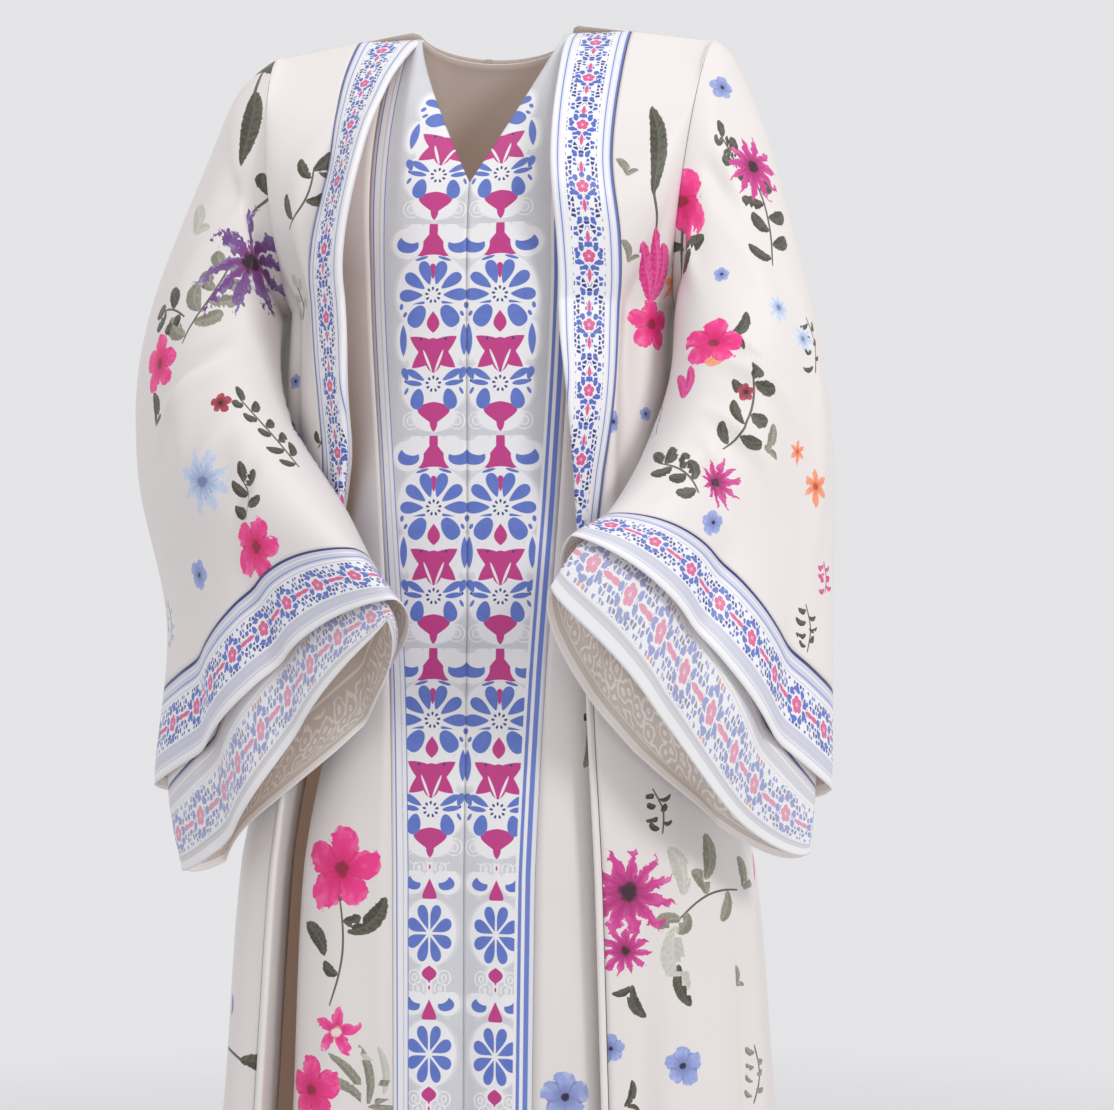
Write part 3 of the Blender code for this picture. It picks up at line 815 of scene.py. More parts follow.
def twig(length, kind, bud, chance):
    # a thin broken sprig with small leaves and a bud
    parts = [("stems", stemLine, 0.9, [(0, 0), (length * 0.1, length * 0.5), (-length * 0.05, length)])]
    for i in range(7):
        y = length * (i + 1) / 8
        side = 1 if i % 2 else -1
        parts.append(leafStroke(kind, side * 2, y, side * chance.uniform(40, 100), chance.uniform(8, 15),
                                chance.uniform(2.0, 3.4), side * 0.2))
    if bud is not None:
        parts.append(("bloom", bud, 7.5, -length * 0.05, length + 4, 0))
    return parts


def longLeaf(length, half, kind):
    return [leafStroke(kind, 0, length * 0.35, 0, length * 0.65, half, 0.08),
            ("stems", stemLine, 1.5, [(0, 0), (3, length * 0.2), (0, length * 0.42)])]


def singleBloom(bloom, radius):
    return [("bloom", bloom, radius, 0, 0, 0)]


def leafPair(length, half, kind):
    return [leafStroke(kind, 0, 0, -14, length, half, 0.15),
            leafStroke(kind, 0, 0, 78, length * 0.62, half * 0.6, -0.15)]


def petalSpray(kind, count, length, half, chance):
    return [leafStroke(kind, 0, 0, (i - (count - 1) / 2) * 26 + chance.uniform(-8, 8),
                       length * chance.uniform(0.8, 1.1), half, 0.1) for i in range(count)]


# Where a drawing lies in the photo: the pixel of its foot or centre and its turn clockwise.
Place = namedtuple("Place", "x y turn drawing")
chance = random.Random(7)


def photoPlaces():
    c = chance
    return [
        # viewer's left sleeve
        Place(246, 122, 12, [leafStroke(darkLeaf, 0, -46, 0, 82, 12, 0.08)]),
        Place(256, 92, 4, [("stems", stemLine, 2.2, [(-3, -14), (0, 6), (3, 30)])]),
        Place(252, 212, 24, leafyBranch(46, 1, 30, 5, darkLeaf, 0.05, c)),
        Place(252, 262, 0, singleBloom(purpleStar, 64)),
        Place(196, 232, 10, leafPair(34, 9, paleLeaf)),
        Place(182, 342, 16, leafyBranch(100, 7, 40, 8.5, greenLeaf, 0.08, c)),
        Place(186, 318, -60, leafyBranch(34, 3, 26, 7, darkLeaf, 0.08, c)),
        Place(160, 362, 0, singleBloom(hotPink, 31)),
        Place(156, 428, 0, leafPair(36, 7, darkLeaf)),
        Place(300, 468, -56, leafyBranch(84, 9, 20, 4.5, darkLeaf, 0.08, c)),
        Place(222, 402, 0, singleBloom(redBud, 12)),
        Place(202, 482, 60, singleBloom(brushBloom, 36)),
        Place(246, 520, -6, leafyBranch(38, 4, 24, 5.5, darkLeaf, 0.1, c)),
        Place(256, 545, 10, singleBloom(hotPink, 40)),
        Place(200, 574, 80, singleBloom(pansy, 16)),
        Place(206, 660, -15, leafyBranch(46, 5, 18, 3.2, darkLeaf, 0.1, c)),
        Place(171, 650, 0, twig(48, blueLeaf, None, c)),
        # front beside the viewer's left band
        Place(290, 232, 10, leafyBranch(66, 3, 34, 6, darkLeaf, 0.12, c)),
        Place(318, 176, 55, leafPair(40, 6, darkLeaf)),
        Place(303, 322, 0, leafyBranch(40, 4, 18, 5, paleLeaf, 0.1, c)),
        Place(296, 383, 0, singleBloom(pansy, 10)),
        Place(318, 450, 20, leafyBranch(40, 4, 16, 4, darkLeaf, 0.1, c)),
        # viewer's right sleeve
        Place(722, 87, 0, singleBloom(pansy, 15)),
        Place(752, 165, 10, singleBloom(dahlia, 40)),
        Place(772, 268, -12, leafyBranch(122, 9, 26, 6.5, darkLeaf, 0.06, c)),
        Place(738, 168, -30, leafyBranch(34, 3, 20, 5, darkLeaf, 0.06, c)),
        Place(714, 345, 10, singleBloom(hotPink, 32)),
        Place(706, 366, 30, petalSpray(orangePetal, 3, 34, 7, c)),
        Place(732, 336, 50, leafPair(30, 5, darkLeaf)),
        Place(722, 276, 0, singleBloom(pansy, 9)),
        Place(778, 308, 0, singleBloom(brushBloom, 17)),
        Place(803, 338, 0, singleBloom(brushBloom, 15)),
        Place(814, 372, -14, twig(56, darkLeaf, None, c)),
        Place(722, 448, 38, leafyBranch(74, 6, 24, 5.5, darkLeaf, 0.1, c)),
        Place(748, 392, 0, singleBloom(redBud, 11)),
        Place(766, 452, 30, leafPair(26, 5, greenLeaf)),
        Place(796, 451, 0, singleBloom(orangeBloom, 14)),
        Place(815, 487, 0, singleBloom(orangeBloom, 22)),
        Place(716, 482, 20, singleBloom(dahlia, 27)),
        Place(696, 494, -40, leafyBranch(48, 6, 24, 6, darkLeaf, 0.1, c)),
        Place(711, 522, 0, singleBloom(pansy, 13)),
        Place(808, 652, 4, twig(46, darkLeaf, None, c)),
        Place(824, 590, 0, twig(30, magentaPetal, None, c)),
        # front beside the viewer's right band
        Place(652, 250, 4, longLeaf(146, 8, darkLeaf)),
        Place(652, 322, 0, singleBloom(hotPink, 33)),
        Place(650, 300, 2, petalSpray(magentaPetal, 3, 46, 8, c)),
        Place(672, 280, 0, singleBloom(orangeBloom, 22)),
        Place(656, 436, 0, twig(76, blueLeaf, None, c)),
        Place(628, 176, -20, leafPair(20, 4, greenLeaf)),
        Place(627, 264, 0, leafPair(24, 4, greenLeaf)),
        Place(612, 422, 0, singleBloom(pansy, 13)),
        Place(646, 416, 0, singleBloom(pansy, 9)),
        Place(682, 400, 8, petalSpray(magentaPetal, 2, 34, 6, c)),
        # skirt, viewer's left
        Place(350, 738, 172, [leafStroke(darkLeaf, 0, 0, 0, 36, 9, 0.12)]),
        Place(345, 872, 6, singleBloom(hotPink, 47)),
        Place(327, 1008, 6, leafyBranch(104, 2, 24, 6, darkLeaf, 0.08, c)),
        Place(324, 958, -42, [leafStroke(darkLeaf, 0, 0, 0, 40, 9, 0.12)]),
        Place(345, 934, 48, [leafStroke(darkLeaf, 0, 0, 0, 52, 9, 0.14)]),
        Place(340, 1030, 8, singleBloom(orchid, 32)),
        Place(310, 1090, 0, singleBloom(hotPink, 38)),
        Place(366, 1104, 4, petalSpray(greenLeaf, 6, 62, 4.6, c)),
        Place(388, 1098, -8, petalSpray(paleLeaf, 3, 50, 4.0, c)),
        Place(274, 850, 20, petalSpray(bluePetal, 3, 30, 3, c)),
        Place(268, 1010, 0, twig(46, blueLeaf, None, c)),
        Place(264, 1078, 0, singleBloom(orangeBloom, 20)),
        Place(284, 950, 0, twig(28, darkLeaf, None, c)),
        Place(232, 1014, 0, petalSpray(bluePetal, 1, 24, 3.4, c)),
        # skirt, viewer's right
        Place(584, 768, 6, [leafStroke(greenLeaf, 0, 0, 0, 44, 6, 0.12)]),
        Place(662, 836, -10, twig(44, darkLeaf, None, c)),
        Place(628, 892, 8, singleBloom(dahlia, 58)),
        Place(624, 952, 0, singleBloom(dahlia, 30)),
        Place(738, 892, -112, leafyBranch(80, 3, 34, 7.5, greenLeaf, 0.14, c)),
        Place(684, 898, -18, [leafStroke(paleLeaf, 0, 0, 0, 48, 9.5, 0.12)]),
        Place(704, 880, 2, [leafStroke(greenLeaf, 0, 0, 0, 44, 8.5, 0.12)]),
        Place(676, 924, 168, [leafStroke(paleLeaf, 0, 0, 0, 62, 12, 0.14)]),
        Place(678, 962, 162, [leafStroke(darkLeaf, 0, 0, 0, 42, 7, 0.1)]),
        Place(632, 985, 170, leafPair(34, 6, darkLeaf)),
        Place(742, 890, 0, leafPair(32, 7, greenLeaf)),
        Place(612, 1050, 0, singleBloom(pansy, 17)),
        Place(604, 1060, 10, petalSpray(magentaPetal, 2, 26, 4, c)),
        Place(684, 1065, 0, singleBloom(pansy, 21)),
        Place(565, 1095, 0, singleBloom(pansy, 24)),
        Place(752, 1104, 4, twig(56, greenLeaf, None, c)),
        Place(754, 880, 0, petalSpray(magentaPetal, 1, 32, 5, c)),
        Place(622, 1105, 30, leafPair(26, 4, darkLeaf)),
        Place(735, 985, 10, leafPair(20, 4, greenLeaf)),
    ]


def scatterDrawing(c):
    return c.choice([
        lambda: bloomOnStem(hotPink, c.uniform(26, 40), 78, darkLeaf, 40, c),
        lambda: bloomOnStem(purpleStar, c.uniform(34, 46), 60, greenLeaf, 34, c),
        lambda: leafyBranch(90, 6, 32, 7, greenLeaf, 0.1, c),
        lambda: longLeaf(105, 9, darkLeaf),
        lambda: singleBloom(pansy, c.uniform(12, 20)),
        lambda: twig(62, darkLeaf, redBud, c),
        lambda: bloomOnStem(dahlia, c.uniform(30, 42), 66, darkLeaf, 36, c),
        lambda: singleBloom(orangeBloom, c.uniform(16, 24)),
        lambda: bloomOnStem(orchid, 28, 56, paleLeaf, 34, c),
        lambda: singleBloom(brushBloom, c.uniform(18, 30)),
    ])()


def smoothLine(points, count=14):
    rows = [Vector(points[0])] + [Vector(p) for p in points] + [Vector(points[-1])]
    line = []
    for i in range(count + 1):
        place = i / count * (len(points) - 1)
        k = min(int(place), len(points) - 2)
        t = place - k
        a, b, c, d = rows[k:k + 4]
        line.append(b + (c - a) * (t / 2) + (a * 2 - b * 5 + c * 4 - d) * (t * t / 2)
                    + (b * 3 - c * 3 + d - a) * (t ** 3 / 2))
    return np.array(line)


def stampStroke(sheet, layer, kind, half, line, corners, middles):
    # the faces near a stroke get its run and their distance from it, in half widths
    line = smoothLine(line)
    low, high = line.min(axis=0) - half * 1.5 - 4, line.max(axis=0) + half * 1.5 + 4
    near = np.nonzero(((middles > low) & (middles < high)).all(axis=1))[0]
    if not len(near):
        return
    starts, steps = line[:-1], np.diff(line, axis=0)
    lengths = (steps ** 2).sum(axis=1)
    off = middles[near][:, None] - starts
    run = np.clip((off * steps).sum(axis=2) / lengths, 0, 1)
    gap = np.linalg.norm(off - run[..., None] * steps, axis=2)
    best = gap.argmin(axis=1)
    nearest = gap[np.arange(len(near)), best]
    keep = nearest < np.minimum(sheet["gaps"][layer][near], half + 6)
    near, best, nearest = near[keep], best[keep], nearest[keep]
    sheet["gaps"][layer][near] = nearest
    off = corners[near] - starts[best][:, None]
    step = steps[best][:, None]
    size = np.sqrt(lengths[best])[:, None]
    run = (best[:, None] + (off * step).sum(axis=2) / size ** 2) / len(steps)
    side = (off[..., 0] * step[..., 1] - off[..., 1] * step[..., 0]) / size / half
    sheet[layer][near] = np.stack([2 * kind + 0.5 + np.clip(run, -0.45, 1.45), side], axis=-1)


def stampBloom(sheet, kind, radius, x, y, turn, corners, middles, seed):
    gap = np.hypot(middles[:, 0] - x, middles[:, 1] - y)
    near = np.nonzero((gap < radius + 6) & (gap / radius < sheet["gaps"]["blooms"]))[0]
    sheet["gaps"]["blooms"][near] = gap[near] / radius
    a = radians(turn)
    off = (corners[near] - (x, y)) / radius
    sheet["blooms"][near, :, 0] = off[..., 0] * cos(a) - off[..., 1] * sin(a)
    sheet["blooms"][near, :, 1] = off[..., 0] * sin(a) + off[..., 1] * cos(a)
    sheet["bloomKind"][near] = (kind + 0.5, seed)


def stampDrawing(sheet, face, along, upright, turn, drawing, seed):
    # a drawing laid on the cloth round the middle of a face. along and upright are directions
    # in space that lie in the cloth.
    corners = sheet["grid"][sheet["corners"][face]]
    places = sheet["places"][sheet["corners"][face]]
    frame = np.stack([corners[1] - corners[0], corners[3] - corners[0]], axis=1)
    flat = np.stack([places[1] - places[0], places[3] - places[0]], axis=1)
    a = radians(turn)
    upward = upright * cos(a) + along * sin(a)
    sideways = along * cos(a) - upright * sin(a)
    toCloth = flat @ np.linalg.lstsq(frame, np.stack([sideways, upward], axis=1), rcond=None)[0]
    back = np.linalg.inv(toCloth) * 1000
    local = (sheet["places"][sheet["corners"]] - places.mean(axis=0)) @ back.T
    middles = local.mean(axis=1)
    for part in drawing:
        if part[0] == "bloom":
            stampBloom(sheet, *part[1:], local, middles, seed)
        else:
            stampStroke(sheet, part[0], *part[1:], local, middles)


def clothTrees(names):
    trees = {}
    for name in names:
        sheet = sheets[name]
        trees[name] = BVHTree.FromPolygons(sheet["grid"].tolist(), sheet["corners"].tolist())
    return trees


def photoRay(x, y):
    return (forward + rightward * ((x - photo["width"] / 2) / photo["distance"] / 1000)
            + Vector((0, 0, 1)) * ((photo["height"] / 2 - y) / photo["distance"] / 1000)).normalized()


def clothDirections(normal):
    # the photo's right and up, laid into the cloth
    normal = np.array(normal)
    along = np.array(rightward) - normal * normal.dot(rightward)
    along /= np.linalg.norm(along)
    upright = np.cross(normal, along)
    return along, upright * (1 if upright[2] > 0 else -1)


def printCloth():
    printed = [name for name in sheets if not any(word in name for word in ("Band", "Cuff", "Panel"))]
    for name in printed:
        sheet = sheets[name]
        count = len(sheet["corners"])
        sheet["gaps"] = {layer: np.full(count, 1e3) for layer in ("stems", "leaves")}
        sheet["gaps"]["blooms"] = np.full(count, 1.3)
        for layer in ("stems", "leaves", "blooms", "bloomKind"):
            sheet[layer] = np.full((count, 4, 2), 9.0)
    trees = clothTrees(sheets)
    eye = camera.location

    def firstHit(ray):
        found = None
        for name, tree in trees.items():
            point, normal, face, far = tree.ray_cast(eye, ray)
            if face is not None and (found is None or far < found[3]):
                found = name, normal, face, far
        return found

    for number, place in enumerate(photoPlaces()):
        found = firstHit(photoRay(place.x, place.y))
        if found is None or found[0] not in printed:
            print("no cloth at", place.x, place.y, found and found[0])
            continue
        name, normal, face, _ = found
        along, upright = clothDirections(normal)
        stampDrawing(sheets[name], face, along, upright, place.turn, place.drawing, number % 7)
    scatter = random.Random(21)
    for name in printed:
        sheet = sheets[name]
        middles = sheet["grid"][sheet["corners"]].mean(axis=1)
        flat = sheet["places"][sheet["corners"]].mean(axis=1)
        across, drop = flat.max(axis=0)
        step = scatterStep["across"], scatterStep["down"]
        for i in range(int(across / step[0]) + 1):
            for j in range(int(drop / step[1]) + 1):
                u = (i + 0.5 + scatter.uniform(-0.2, 0.2)) * step[0]
                v = (j + 0.3 + 0.5 * (i % 2) + scatter.uniform(-0.15, 0.15)) * step[1]
                drawing = scatterDrawing(scatter)
                turn = scatter.uniform(-35, 35)
                gap = np.hypot(flat[:, 0] - u, flat[:, 1] - v)
                face = int(gap.argmin())
                if gap[face] > 0.02:
                    continue
                middle = Vector(middles[face])
                ray = middle - eye
                depth = ray.dot(forward)
                lift = photo["height"] / 2 - (ray.z / depth) * photo["distance"] * 1000
                found = firstHit(ray.normalized())
                corners = sheet["grid"][sheet["corners"][face]]
                normal = np.cross(corners[1] - corners[0], corners[3] - corners[0])
                seen = found and found[0] == name and abs(found[3] - ray.length) < 0.01
                fronts = "over" in name and Vector(normal).dot(ray) < 0
                if (seen or fronts) and lift < photo["height"] + 120:
                    continue      # the photo shows this stretch, and its drawings are in place
                along, upright = clothDirections(normal / np.linalg.norm(normal))
                stampDrawing(sheet, face, along, upright, turn, drawing, (i * 3 + j) % 7)


scatterStep = {"across": 0.125, "down": 0.17}
printCloth()
print("print laid")


def writeMaps():
    for sheet in sheets.values():
        mesh = sheet["piece"].data
        sheet["cloth"] = sheet["places"][sheet["corners"]]
        for layer in ("cloth", "edge", "stems", "leaves", "blooms", "bloomKind"):
            if layer not in sheet:
                continue
            values = sheet[layer]
            written = mesh.uv_layers.new(name=layer)
            written.data.foreach_set("uv", np.ascontiguousarray(values, dtype=np.float32).ravel())


writeMaps()


# Small helpers for node trees: each returns the socket that holds its result.
def calc(tree, operation, *values, clamp=False):
    node = tree.nodes.new("ShaderNodeMath")
    node.operation = operation
    node.use_clamp = clamp
    for slot, value in zip(node.inputs, values):
        if isinstance(value, bpy.types.NodeSocket):
            tree.links.new(value, slot)
        else:
            slot.default_value = value
    return node.outputs[0]


def blend(tree, factor, low, high):
    node = tree.nodes.new("ShaderNodeMix")
    node.data_type = "RGBA"
    for slot, value in ((node.inputs[0], factor), (node.inputs[6], low), (node.inputs[7], high)):
        if isinstance(value, bpy.types.NodeSocket):
            tree.links.new(value, slot)
        else:
            slot.default_value = (*value, 1) if isinstance(value, tuple) else value
    return node.outputs[2]


def shades(tree, position, colours):
    # one flat colour or value for each kind
    node = tree.nodes.new("ShaderNodeValToRGB")
    node.color_ramp.interpolation = "CONSTANT"
    stops = node.color_ramp.elements
    while len(stops) < len(colours):
        stops.new(0.5)
    for i, colour in enumerate(colours):
        stops[i].position = i / len(colours)
        if isinstance(colour, (int, float)):
            colour = (colour,) * 3
        stops[i].color = (*colour, 1)
    tree.links.new(calc(tree, "DIVIDE", position, float(len(colours))), node.inputs[0])
    return node.outputs[0]


def noise(tree, place, scale, detail=2.0, roughness=0.5):
    node = tree.nodes.new("ShaderNodeTexNoise")
    node.noise_dimensions = "3D"
    node.inputs["Scale"].default_value = scale
    node.inputs["Detail"].default_value = detail
    node.inputs["Roughness"].default_value = roughness
    tree.links.new(place, node.inputs["Vector"])
    return node.outputs[0]


def split(tree, vector):
    node = tree.nodes.new("ShaderNodeSeparateXYZ")
    tree.links.new(vector, node.inputs[0])
    return node.outputs[0], node.outputs[1]


def joined(tree, x, y, z=0.0):
    node = tree.nodes.new("ShaderNodeCombineXYZ")
    for slot, value in zip(node.inputs, (x, y, z)):
        if isinstance(value, bpy.types.NodeSocket):
            tree.links.new(value, slot)
        else:
            slot.default_value = value
    return node.outputs[0]


def below(tree, value, limit, soft):
    # 1 where value is under limit, with a soft edge
    node = tree.nodes.new("ShaderNodeMapRange")
    node.inputs["From Min"].default_value = soft
    node.inputs["From Max"].default_value = -soft
    tree.links.new(calc(tree, "SUBTRACT", value, limit), node.inputs["Value"])
    return node.outputs["Result"]


def newGroup(name, inputs, outputs):
    group = bpy.data.node_groups.new(name, "ShaderNodeTree")
    for label, kind in inputs:
        group.interface.new_socket(label, in_out="INPUT", socket_type=kind)
    for label, kind in outputs:
        group.interface.new_socket(label, in_out="OUTPUT", socket_type=kind)
    return group, group.nodes.new("NodeGroupInput"), group.nodes.new("NodeGroupOutput")


def useGroup(tree, group, **inputs):
    node = tree.nodes.new("ShaderNodeGroup")
    node.node_tree = group
    for label, value in inputs.items():
        slot = node.inputs[label]
        if isinstance(value, bpy.types.NodeSocket):
            tree.links.new(value, slot)
        else:
            slot.default_value = value
    return node.outputs


colourSocket, valueSocket, vectorSocket = "NodeSocketColor", "NodeSocketFloat", "NodeSocketVector"

# Colours by kind, in the order of the kinds above.
strokeColours = {
    "body": [(0.06, 0.055, 0.04), (0.22, 0.21, 0.16), (0.50, 0.49, 0.43), (0.42, 0.48, 0.60),
             (0.66, 0.03, 0.22), (0.86, 0.27, 0.14), (0.14, 0.17, 0.46), (0.10, 0.09, 0.07)],
    "light": [(0.17, 0.17, 0.13), (0.42, 0.42, 0.34), (0.70, 0.69, 0.63), (0.62, 0.68, 0.80),
              (0.84, 0.20, 0.44), (0.92, 0.52, 0.34), (0.42, 0.46, 0.72), (0.24, 0.22, 0.18)],
}
bloomColours = {
    "outer": [(0.86, 0.045, 0.26), (0.16, 0.06, 0.24), (0.30, 0.36, 0.66), (0.86, 0.30, 0.17),
              (0.60, 0.05, 0.27), (0.84, 0.06, 0.30), (0.56, 0.64, 0.80), (0.40, 0.05, 0.08)],
    "inner": [(0.62, 0.01, 0.12), (0.26, 0.03, 0.17), (0.16, 0.19, 0.42), (0.80, 0.16, 0.07),
              (0.24, 0.02, 0.10), (0.62, 0.02, 0.14), (0.25, 0.32, 0.56), (0.10, 0.02, 0.03)],
    "tips": [(0.90, 0.26, 0.50), (0.38, 0.34, 0.52), (0.55, 0.60, 0.82), (0.93, 0.55, 0.38),
             (0.80, 0.22, 0.50), (0.92, 0.34, 0.52), (0.78, 0.80, 0.85), (0.62, 0.16, 0.20)],
    "eye": [(0.30, 0.02, 0.05), (0.03, 0.01, 0.02), (0.03, 0.025, 0.06), (0.45, 0.10, 0.04),
            (0.05, 0.02, 0.03), (0.80, 0.72, 0.60), (0.20, 0.24, 0.40), (0.05, 0.02, 0.02)],
}
bloomShapes = {      # in tenths: petals, how deep the notches are, how round the petals are
    "petals": [0.5, 0.9, 0.5, 0.6, 1.1, 0.5, 0.8, 0.5],
    "notch": [0.42, 0.80, 0.26, 0.62, 0.58, 0.70, 0.55, 0.40],
    "round": [0.24, 0.09, 0.30, 0.12, 0.10, 0.12, 0.12, 0.20],
}


def strokeGroup(name):
    # draws leaves, petals or stems from their map: run along the stroke and distance from it
    group, start, end = newGroup(name, [("Map", vectorSocket), ("Fleck", vectorSocket)],
                                 [("Color", colourSocket), ("Mask", valueSocket)])
    x, y = split(group, start.outputs["Map"])
    kind = calc(group, "FLOOR", calc(group, "MULTIPLY", x, 0.5))
    run = calc(group, "SUBTRACT", calc(group, "SUBTRACT", x, calc(group, "MULTIPLY", kind, 2.0)), 0.5)
    middle = calc(group, "ADD", kind, 0.5)
    ragged = calc(group, "SUBTRACT", noise(group, start.outputs["Fleck"], 260.0, 3.0), 0.5)
    hump = calc(group, "MULTIPLY", calc(group, "MULTIPLY", run, calc(group, "SUBTRACT", 1.0, run)), 4.0)
    hump = calc(group, "MAXIMUM", hump, 0.0)
    power = shades(group, middle, [0.85, 0.8, 0.75, 0.8, 0.7, 0.7, 0.8, 0.15])
    width = calc(group, "POWER", hump, power)
    width = calc(group, "ADD", width, calc(group, "MULTIPLY", ragged, 0.45))
    off = calc(group, "ABSOLUTE", y)
    mask = below(group, off, width, 0.05)
    inside = calc(group, "MULTIPLY", calc(group, "GREATER_THAN", run, 0.0),
                  calc(group, "LESS_THAN", run, 1.0))
    mask = calc(group, "MULTIPLY", mask, inside)
    light = shades(group, middle, strokeColours["light"])
    body = shades(group, middle, strokeColours["body"])
    vein = below(group, off, 0.10, 0.05)
    ribs = calc(group, "SINE", calc(group, "MULTIPLY",
                calc(group, "SUBTRACT", run, calc(group, "MULTIPLY", off, 0.10)), 70.0))
    half = calc(group, "MULTIPLY", calc(group, "GREATER_THAN", y, 0.0), 0.30)
    shade = calc(group, "ADD", calc(group, "MULTIPLY", calc(group, "MAXIMUM", ribs, 0.0), 0.22), half)
    shade = calc(group, "ADD", shade, calc(group, "MULTIPLY", ragged, 1.6))
    shade = calc(group, "MAXIMUM", shade, calc(group, "MULTIPLY", vein, 0.55), clamp=True)
    colour = blend(group, shade, body, light)
    group.links.new(colour, end.inputs["Color"])
    group.links.new(mask, end.inputs["Mask"])
    return group


def bloomGroup():
    group, start, end = newGroup("bloomPrint", [("Map", vectorSocket), ("Kind", vectorSocket),
                                 ("Fleck", vectorSocket)],
                                 [("Color", colourSocket), ("Mask", valueSocket)])
    kind, seed = split(group, start.outputs["Kind"])
    wobble = calc(group, "SUBTRACT", noise(group, start.outputs["Fleck"], 110.0, 3.0), 0.5)
    x, y = split(group, start.outputs["Map"])
    far = calc(group, "SQRT", calc(group, "ADD", calc(group, "MULTIPLY", x, x),
                                   calc(group, "MULTIPLY", y, y)))
    angle = calc(group, "ARCTAN2", x, y)
    petals = calc(group, "MULTIPLY", shades(group, kind, bloomShapes["petals"]), 10.0)
    petals = calc(group, "ROUND", petals)
    turned = calc(group, "ADD", calc(group, "DIVIDE", angle, 2 * pi), calc(group, "MULTIPLY", wobble, 0.10))
    phase = calc(group, "ADD", calc(group, "MULTIPLY", turned, petals), calc(group, "ADD", seed, 20.5))
    number = calc(group, "FLOOR", phase)
    part = calc(group, "FRACT", phase)
    off = calc(group, "MULTIPLY", calc(group, "ABSOLUTE", calc(group, "SUBTRACT", part, 0.5)), 2.0)
    roundness = calc(group, "MULTIPLY", shades(group, kind, bloomShapes["round"]), 10.0)
    notch = shades(group, kind, bloomShapes["notch"])
    length = calc(group, "SINE", calc(group, "ADD", calc(group, "MULTIPLY", number, 12.9898), seed))
    length = calc(group, "ADD", calc(group, "MULTIPLY", length, 0.11), 0.87)
    reach = calc(group, "SUBTRACT", 1.0, calc(group, "MULTIPLY", notch,
                                             calc(group, "POWER", off, roundness)))
    reach = calc(group, "MULTIPLY", reach, length)
    reach = calc(group, "ADD", reach, calc(group, "MULTIPLY", wobble, 0.28))
    mask = below(group, far, reach, 0.015)
    depth = calc(group, "DIVIDE", far, reach)
    streak = noise(group, joined(group, calc(group, "MULTIPLY", phase, 3.2), calc(group, "MULTIPLY", far, 1.3),
                                 seed), 1.9, 3.0)
    streak = calc(group, "MULTIPLY", calc(group, "SUBTRACT", streak, 0.46), 4.0, clamp=True)
    outer = shades(group, kind, bloomColours["outer"])
    inner = shades(group, kind, bloomColours["inner"])
    tips = shades(group, kind, bloomColours["tips"])
    eye = shades(group, kind, bloomColours["eye"])
    colour = blend(group, calc(group, "MULTIPLY", depth, 1.5, clamp=True), inner, outer)
    edge = calc(group, "MULTIPLY", calc(group, "SUBTRACT", depth, 0.45), 1.6, clamp=True)
    colour = blend(group, calc(group, "MULTIPLY", edge, streak), colour, tips)
    seam = calc(group, "MULTIPLY", calc(group, "GREATER_THAN", off, 0.86), 0.6)
    colour = blend(group, seam, colour, inner)
    heart = below(group, calc(group, "ADD", far, calc(group, "MULTIPLY", wobble, 0.25)), 0.15, 0.03)
    colour = blend(group, heart, colour, eye)
    group.links.new(colour, end.inputs["Color"])
    group.links.new(mask, end.inputs["Mask"])
    return group


strokePrint = strokeGroup("strokePrint")
bloomPrint = bloomGroup()

satinLook = {"ground": (0.775, 0.735, 0.715), "warm": (0.755, 0.700, 0.675), "roughness": 0.46}


def mapSocket(tree, name):
    node = tree.nodes.new("ShaderNodeUVMap")
    node.uv_map = name
    return node.outputs["UV"]


def newPaint(name, roughness):
    paint = bpy.data.materials.new(name)
    paint.use_nodes = True
    shader = paint.node_tree.nodes["Principled BSDF"]
    shader.inputs["Roughness"].default_value = roughness
    shader.inputs["Sheen Weight"].default_value = 0.05
    shader.inputs["Sheen Roughness"].default_value = 0.4
    shader.inputs["Specular IOR Level"].default_value = 0.35
    return paint, paint.node_tree, shader


def floralColour(tree, ground):
    # stems under leaves under blooms, over the ground colour
    fleck = mapSocket(tree, "cloth")
    colour = ground
    for layer in ("stems", "leaves"):
        drawn = useGroup(tree, strokePrint, Map=mapSocket(tree, layer), Fleck=fleck)
        colour = blend(tree, drawn["Mask"], colour, drawn["Color"])
    drawn = useGroup(tree, bloomPrint, Map=mapSocket(tree, "blooms"), Kind=mapSocket(tree, "bloomKind"),
                     Fleck=fleck)
    return blend(tree, drawn["Mask"], colour, drawn["Color"])


def printedSatinPaint():
    paint, tree, shader = newPaint("printedSatin", satinLook["roughness"])
    tone = noise(tree, mapSocket(tree, "cloth"), 9.0, 2.0)
    ground = blend(tree, tone, satinLook["ground"], satinLook["warm"])
    tree.links.new(floralColour(tree, ground), shader.inputs["Base Color"])
    return paint


def satinReversePaint():
    # the same print shows through the reverse, paler and greyed
    paint, tree, shader = newPaint("satinReverse", 0.6)
    colour = floralColour(tree, blend(tree, 0.5, (0.60, 0.56, 0.53), (0.60, 0.56, 0.53)))
    colour = blend(tree, 0.72, colour, (0.50, 0.46, 0.43))
    tree.links.new(colour, shader.inputs["Base Color"])
    # Painted light: the reverse glows a warm brown, so the shaded inside between the layers reads lit and
    # brown instead of black.
    shader.inputs["Emission Color"].default_value = (0.62, 0.40, 0.29, 1)    # painted light: a warm glow standing in for bounce light
    shader.inputs["Emission Strength"].default_value = 0.14
    return paint


satin, reverse = printedSatinPaint(), satinReversePaint()


